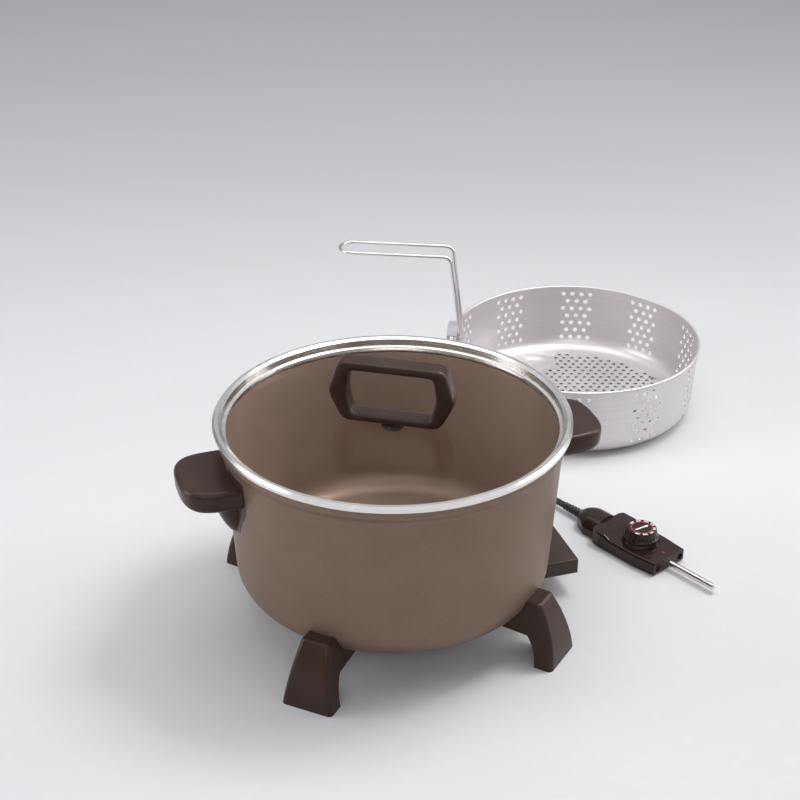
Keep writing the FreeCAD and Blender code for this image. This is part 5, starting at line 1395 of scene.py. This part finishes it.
class KETTLE_OT_handles_and_legs(bpy.types.Operator):
    """Shapes the side handles and gives them and the legs their moulded skin"""

    bl_idname = "kettle.handles_and_legs"
    bl_label = "Handles and legs"

    def execute(self, context):
        set_finish(moulding(), "leg_back_left", "leg_back_right", "leg_front_left", "leg_front_right")
        sizes = context.scene.kettle_handles
        forms = [grip_form(sizes), apron_form(sizes), collar_form(sizes)]
        for name, node, side in (("right_grip", "right_handle", 1), ("left_grip", "left_handle", -1)):
            turn = [side, side, 1]
            grip = put_mesh(name, [(points * turn, faces, moulding()) for points, faces in forms])
            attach(grip, "kettle")
            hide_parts(node)
        return {"FINISHED"}


class KETTLE_OT_cover(bpy.types.Operator):
    """Shapes the loop of the cover and finishes the glass and its steel band"""

    bl_idname = "kettle.cover"
    bl_label = "Cover"

    def execute(self, context):
        set_finish(clear_glass(), "cover_glass")
        set_finish(bright_steel(), "cover_rim")
        set_finish(guard_paint(), "cover_washer")
        set_finish(dull_steel(), "cover_screw")
        set_finish(soft_seal(), "cover_seal")
        points, faces = loop_skin(context.scene.kettle_loop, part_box("cover_handle")[0][2])
        loop = put_mesh("cover_loop", [(points, faces, moulding())])
        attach(loop, "cover")
        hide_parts("cover_handle")
        return {"FINISHED"}


class KETTLE_OT_basket(bpy.types.Operator):
    """Builds the perforated basket and finishes its bracket and wire"""

    bl_idname = "kettle.basket"
    bl_label = "Basket"

    def execute(self, context):
        sizes = context.scene.kettle_basket
        centre = (sizes.centre[0], sizes.centre[1], 0.0)
        points, faces = build_basket(sizes)
        shell = put_mesh("perforated_basket", [(points, faces, basket_sheet(centre))])
        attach(shell, "basket")
        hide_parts("basket_shell")
        set_finish(basket_sheet(centre), "basket_bracket", "bracket_rivets")
        set_finish(plated_wire(), "basket_handle_wire")
        return {"FINISHED"}


class KETTLE_OT_control(bpy.types.Operator):
    """Finishes the heat control and its dial"""

    bl_idname = "kettle.control"
    bl_label = "Heat control"

    def execute(self, context):
        sizes = context.scene.kettle_control
        tones = colours()
        axis = np.array(sizes.nose) * [1, 1, 0] + sizes.dial_behind * rearward(sizes)
        pale = print_paint("dial_marks", opaque(tones.marks))
        red = print_paint("dial_ring", opaque(tones.mark_ring))
        numbers, ring, pointer = dial_marks(sizes.dial_low + sizes.dial_height - FACE_SINK)
        pieces = [(*dial_skin(sizes), housing_gloss()), (*ring, red)]
        pieces += [(*solid, pale) for solid in (*numbers, pointer)]
        dial = put_mesh("fluted_dial", [(points + axis, faces, paint) for points, faces, paint in pieces])
        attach(dial, "dial")
        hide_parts("dial")
        set_finish(housing_gloss(), "control_base", "control_cover")
        set_finish(plated_wire(), "probe")
        set_finish(dull_steel(), "housing_screws", "dial_shaft")
        set_finish(contact_brass(), "contact_sockets")
        set_finish(switch_moulding(), "thermostat_switch")
        set_finish(red_lens(), "pilot_lens")
        return {"FINISHED"}


class KETTLE_OT_cord(bpy.types.Operator):
    """Lays the supply cord with its coil, tie and plug"""

    bl_idname = "kettle.cord"
    bl_label = "Supply cord"

    def execute(self, context):
        sizes = context.scene.kettle_cord
        control = context.scene.kettle_control
        route = cord_route(sizes, control)
        cord = cord_curve(sizes, route)
        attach(cord, "control")
        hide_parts("cord_lead", "cord_coil")
        rear = np.array(control.nose) + control.length * rearward(control)
        points, faces = relief_skin(control)
        relief = put_mesh("bend_relief", [(laid(points, rear, rearward(control)), faces, cord_jacket())])
        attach(relief, "control")
        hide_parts("cord_grip")
        points, faces = plug_skin()
        plug = put_mesh("moulded_plug", [(laid(points, route[-1], (1.0, 0.0)), faces, cord_jacket())])
        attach(plug, "control")
        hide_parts("plug_body")
        strap = put_mesh("strap_tie", [(*tie_skin(sizes), tie_strap())])
        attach(strap, "control")
        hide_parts("cord_tie")
        set_finish(contact_brass(), "plug_blades")
        return {"FINISHED"}


# Stage

SENSOR_WIDTH = 36.0
FLOOR_HALF = 9.0
ALL_ROUND = math.radians(180.0)
NARROW = math.radians(75.0)
HORIZON = (0.30, 0.31, 0.33, 1.0)
ZENITH = (0.95, 0.96, 1.0, 1.0)


class KETTLE_OT_stage(bpy.types.Operator):
    """Sets up the floor, the light and the camera"""

    bl_idname = "kettle.stage"
    bl_label = "Stage"

    def execute(self, context):
        settings = context.scene.kettle_stage
        scene = context.scene
        scene.view_settings.view_transform = "Standard"
        camera = bpy.data.objects.new("camera", bpy.data.cameras.new("camera"))
        scene.collection.objects.link(camera)
        camera.data.sensor_width = SENSOR_WIDTH
        camera.data.lens = settings.lens
        camera.location = settings.eye
        way = (Matrix.Rotation(settings.azimuth, 3, "Z")
               @ Matrix.Rotation(math.pi / 2 - settings.pitch, 3, "X")
               @ Matrix.Rotation(settings.roll, 3, "Z"))
        camera.rotation_euler = way.to_euler()
        scene.camera = camera
        corners = FLOOR_HALF * np.array([[-1, -1, 0], [1, -1, 0], [1, 1, 0], [-1, 1, 0]])
        paint = finish("floor_paint", "flecks",
                       {"Scale": 90.0, "Ground": opaque(settings.floor),
                        "Fleck": opaque(settings.floor_fleck)},
                       bump=(0.02, 0.0002), shader_values={"Specular IOR Level": 0.05})
        floor = put_mesh("floor", [(corners, [[0, 1, 2, 3]], paint)])
        lamps = [
            ("left_panel", (-1.7, 0.5, 0.8), (0.0, 0.0, 0.1), (0.8, 1.4), 13.5, ALL_ROUND),
            ("right_panel", (1.6, 0.0, 0.9), (0.0, 0.0, 0.1), (0.7, 1.4), 12.0, ALL_ROUND),
            ("top_panel", (0.1, 0.4, 2.2), (0.1, 0.1, 0.1), (2.0, 1.6), 15.5, ALL_ROUND),
            ("front_panel", (-0.9, -2.4, 1.8), (0.1, 0.1, 0.1), (1.6, 1.0), 11.0, ALL_ROUND),
            ("key_panel", (0.75, 0.15, 1.5), (-0.07, 0.03, 0.1), (0.5, 0.5), 2.0, NARROW),
        ]
        for name, spot, aim, size, power, spread in lamps:
            lamp = bpy.data.lights.new(name, "AREA")
            lamp.shape = "RECTANGLE"
            lamp.size, lamp.size_y = size
            lamp.energy = power
            lamp.spread = spread
            made = bpy.data.objects.new(name, lamp)
            made.location = spot
            made.rotation_euler = (Vector(aim) - Vector(spot)).to_track_quat("-Z", "Y").to_euler()
            scene.collection.objects.link(made)
        world = bpy.data.worlds.new("studio")
        scene.world = world
        world.use_nodes = True
        tree = world.node_tree
        backdrop = tree.nodes["Background"]
        place = add_node(tree, "ShaderNodeTexCoord")
        parts = add_node(tree, "ShaderNodeSeparateXYZ")
        feed(tree, parts.inputs[0], place.outputs["Generated"])
        share = ramp_between(tree, parts.outputs["Z"], low=0.1, high=0.9)
        feed(tree, backdrop.inputs["Color"], colour_between(tree, share, HORIZON, ZENITH))
        path = add_node(tree, "ShaderNodeLightPath")
        seen = maths(tree, "MAXIMUM", path.outputs["Is Camera Ray"], path.outputs["Is Transmission Ray"])
        seen = maths(tree, "MAXIMUM", seen, path.outputs["Is Glossy Ray"])
        strength = ramp_between(tree, seen, low=0.0, high=1.0, to_low=0.55, to_high=0.8)
        feed(tree, backdrop.inputs["Strength"], strength)
        return {"FINISHED"}


class KETTLE_PT_pieces(bpy.types.Panel):
    """Lists the pieces and the stage"""

    bl_label = "Kettle"
    bl_idname = "KETTLE_PT_pieces"
    bl_space_type = "VIEW_3D"
    bl_region_type = "UI"
    bl_category = "Kettle"

    def draw(self, context):
        """Shows a button for each operator and a box for each group of settings."""
        for operator in OPERATORS:
            self.layout.operator(operator.bl_idname)
        for group in SETTINGS:
            settings = getattr(context.scene, group)
            box = self.layout.box()
            for name in settings.bl_rna.properties.keys():
                if name not in ("rna_type", "name"):
                    box.prop(settings, name)


OPERATORS = (KETTLE_OT_pot, KETTLE_OT_handles_and_legs, KETTLE_OT_cover, KETTLE_OT_basket,
             KETTLE_OT_control, KETTLE_OT_cord, KETTLE_OT_stage)
SETTINGS = {"kettle_colours": FinishColours, "kettle_loop": LoopSizes, "kettle_handles": HandleSizes,
            "kettle_basket": BasketSizes, "kettle_control": ControlSizes,
            "kettle_cord": CordSizes, "kettle_stage": StageSettings}


def register():
    """Registers the classes and puts the settings on the scene."""
    for cls in (*SETTINGS.values(), *OPERATORS, KETTLE_PT_pieces):
        bpy.utils.register_class(cls)
    for name, cls in SETTINGS.items():
        setattr(bpy.types.Scene, name, bpy.props.PointerProperty(type=cls))


def unregister():
    """Takes the settings off the scene and unregisters the classes."""
    for name in SETTINGS:
        delattr(bpy.types.Scene, name)
    for cls in reversed((*SETTINGS.values(), *OPERATORS, KETTLE_PT_pieces)):
        bpy.utils.unregister_class(cls)


def main():
    """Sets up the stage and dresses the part."""
    register()
    bpy.ops.kettle.stage()
    bpy.ops.kettle.cord()
    bpy.ops.kettle.pot()
    bpy.ops.kettle.handles_and_legs()
    bpy.ops.kettle.cover()
    bpy.ops.kettle.basket()
    bpy.ops.kettle.control()


if __name__ == "__main__":
    main()
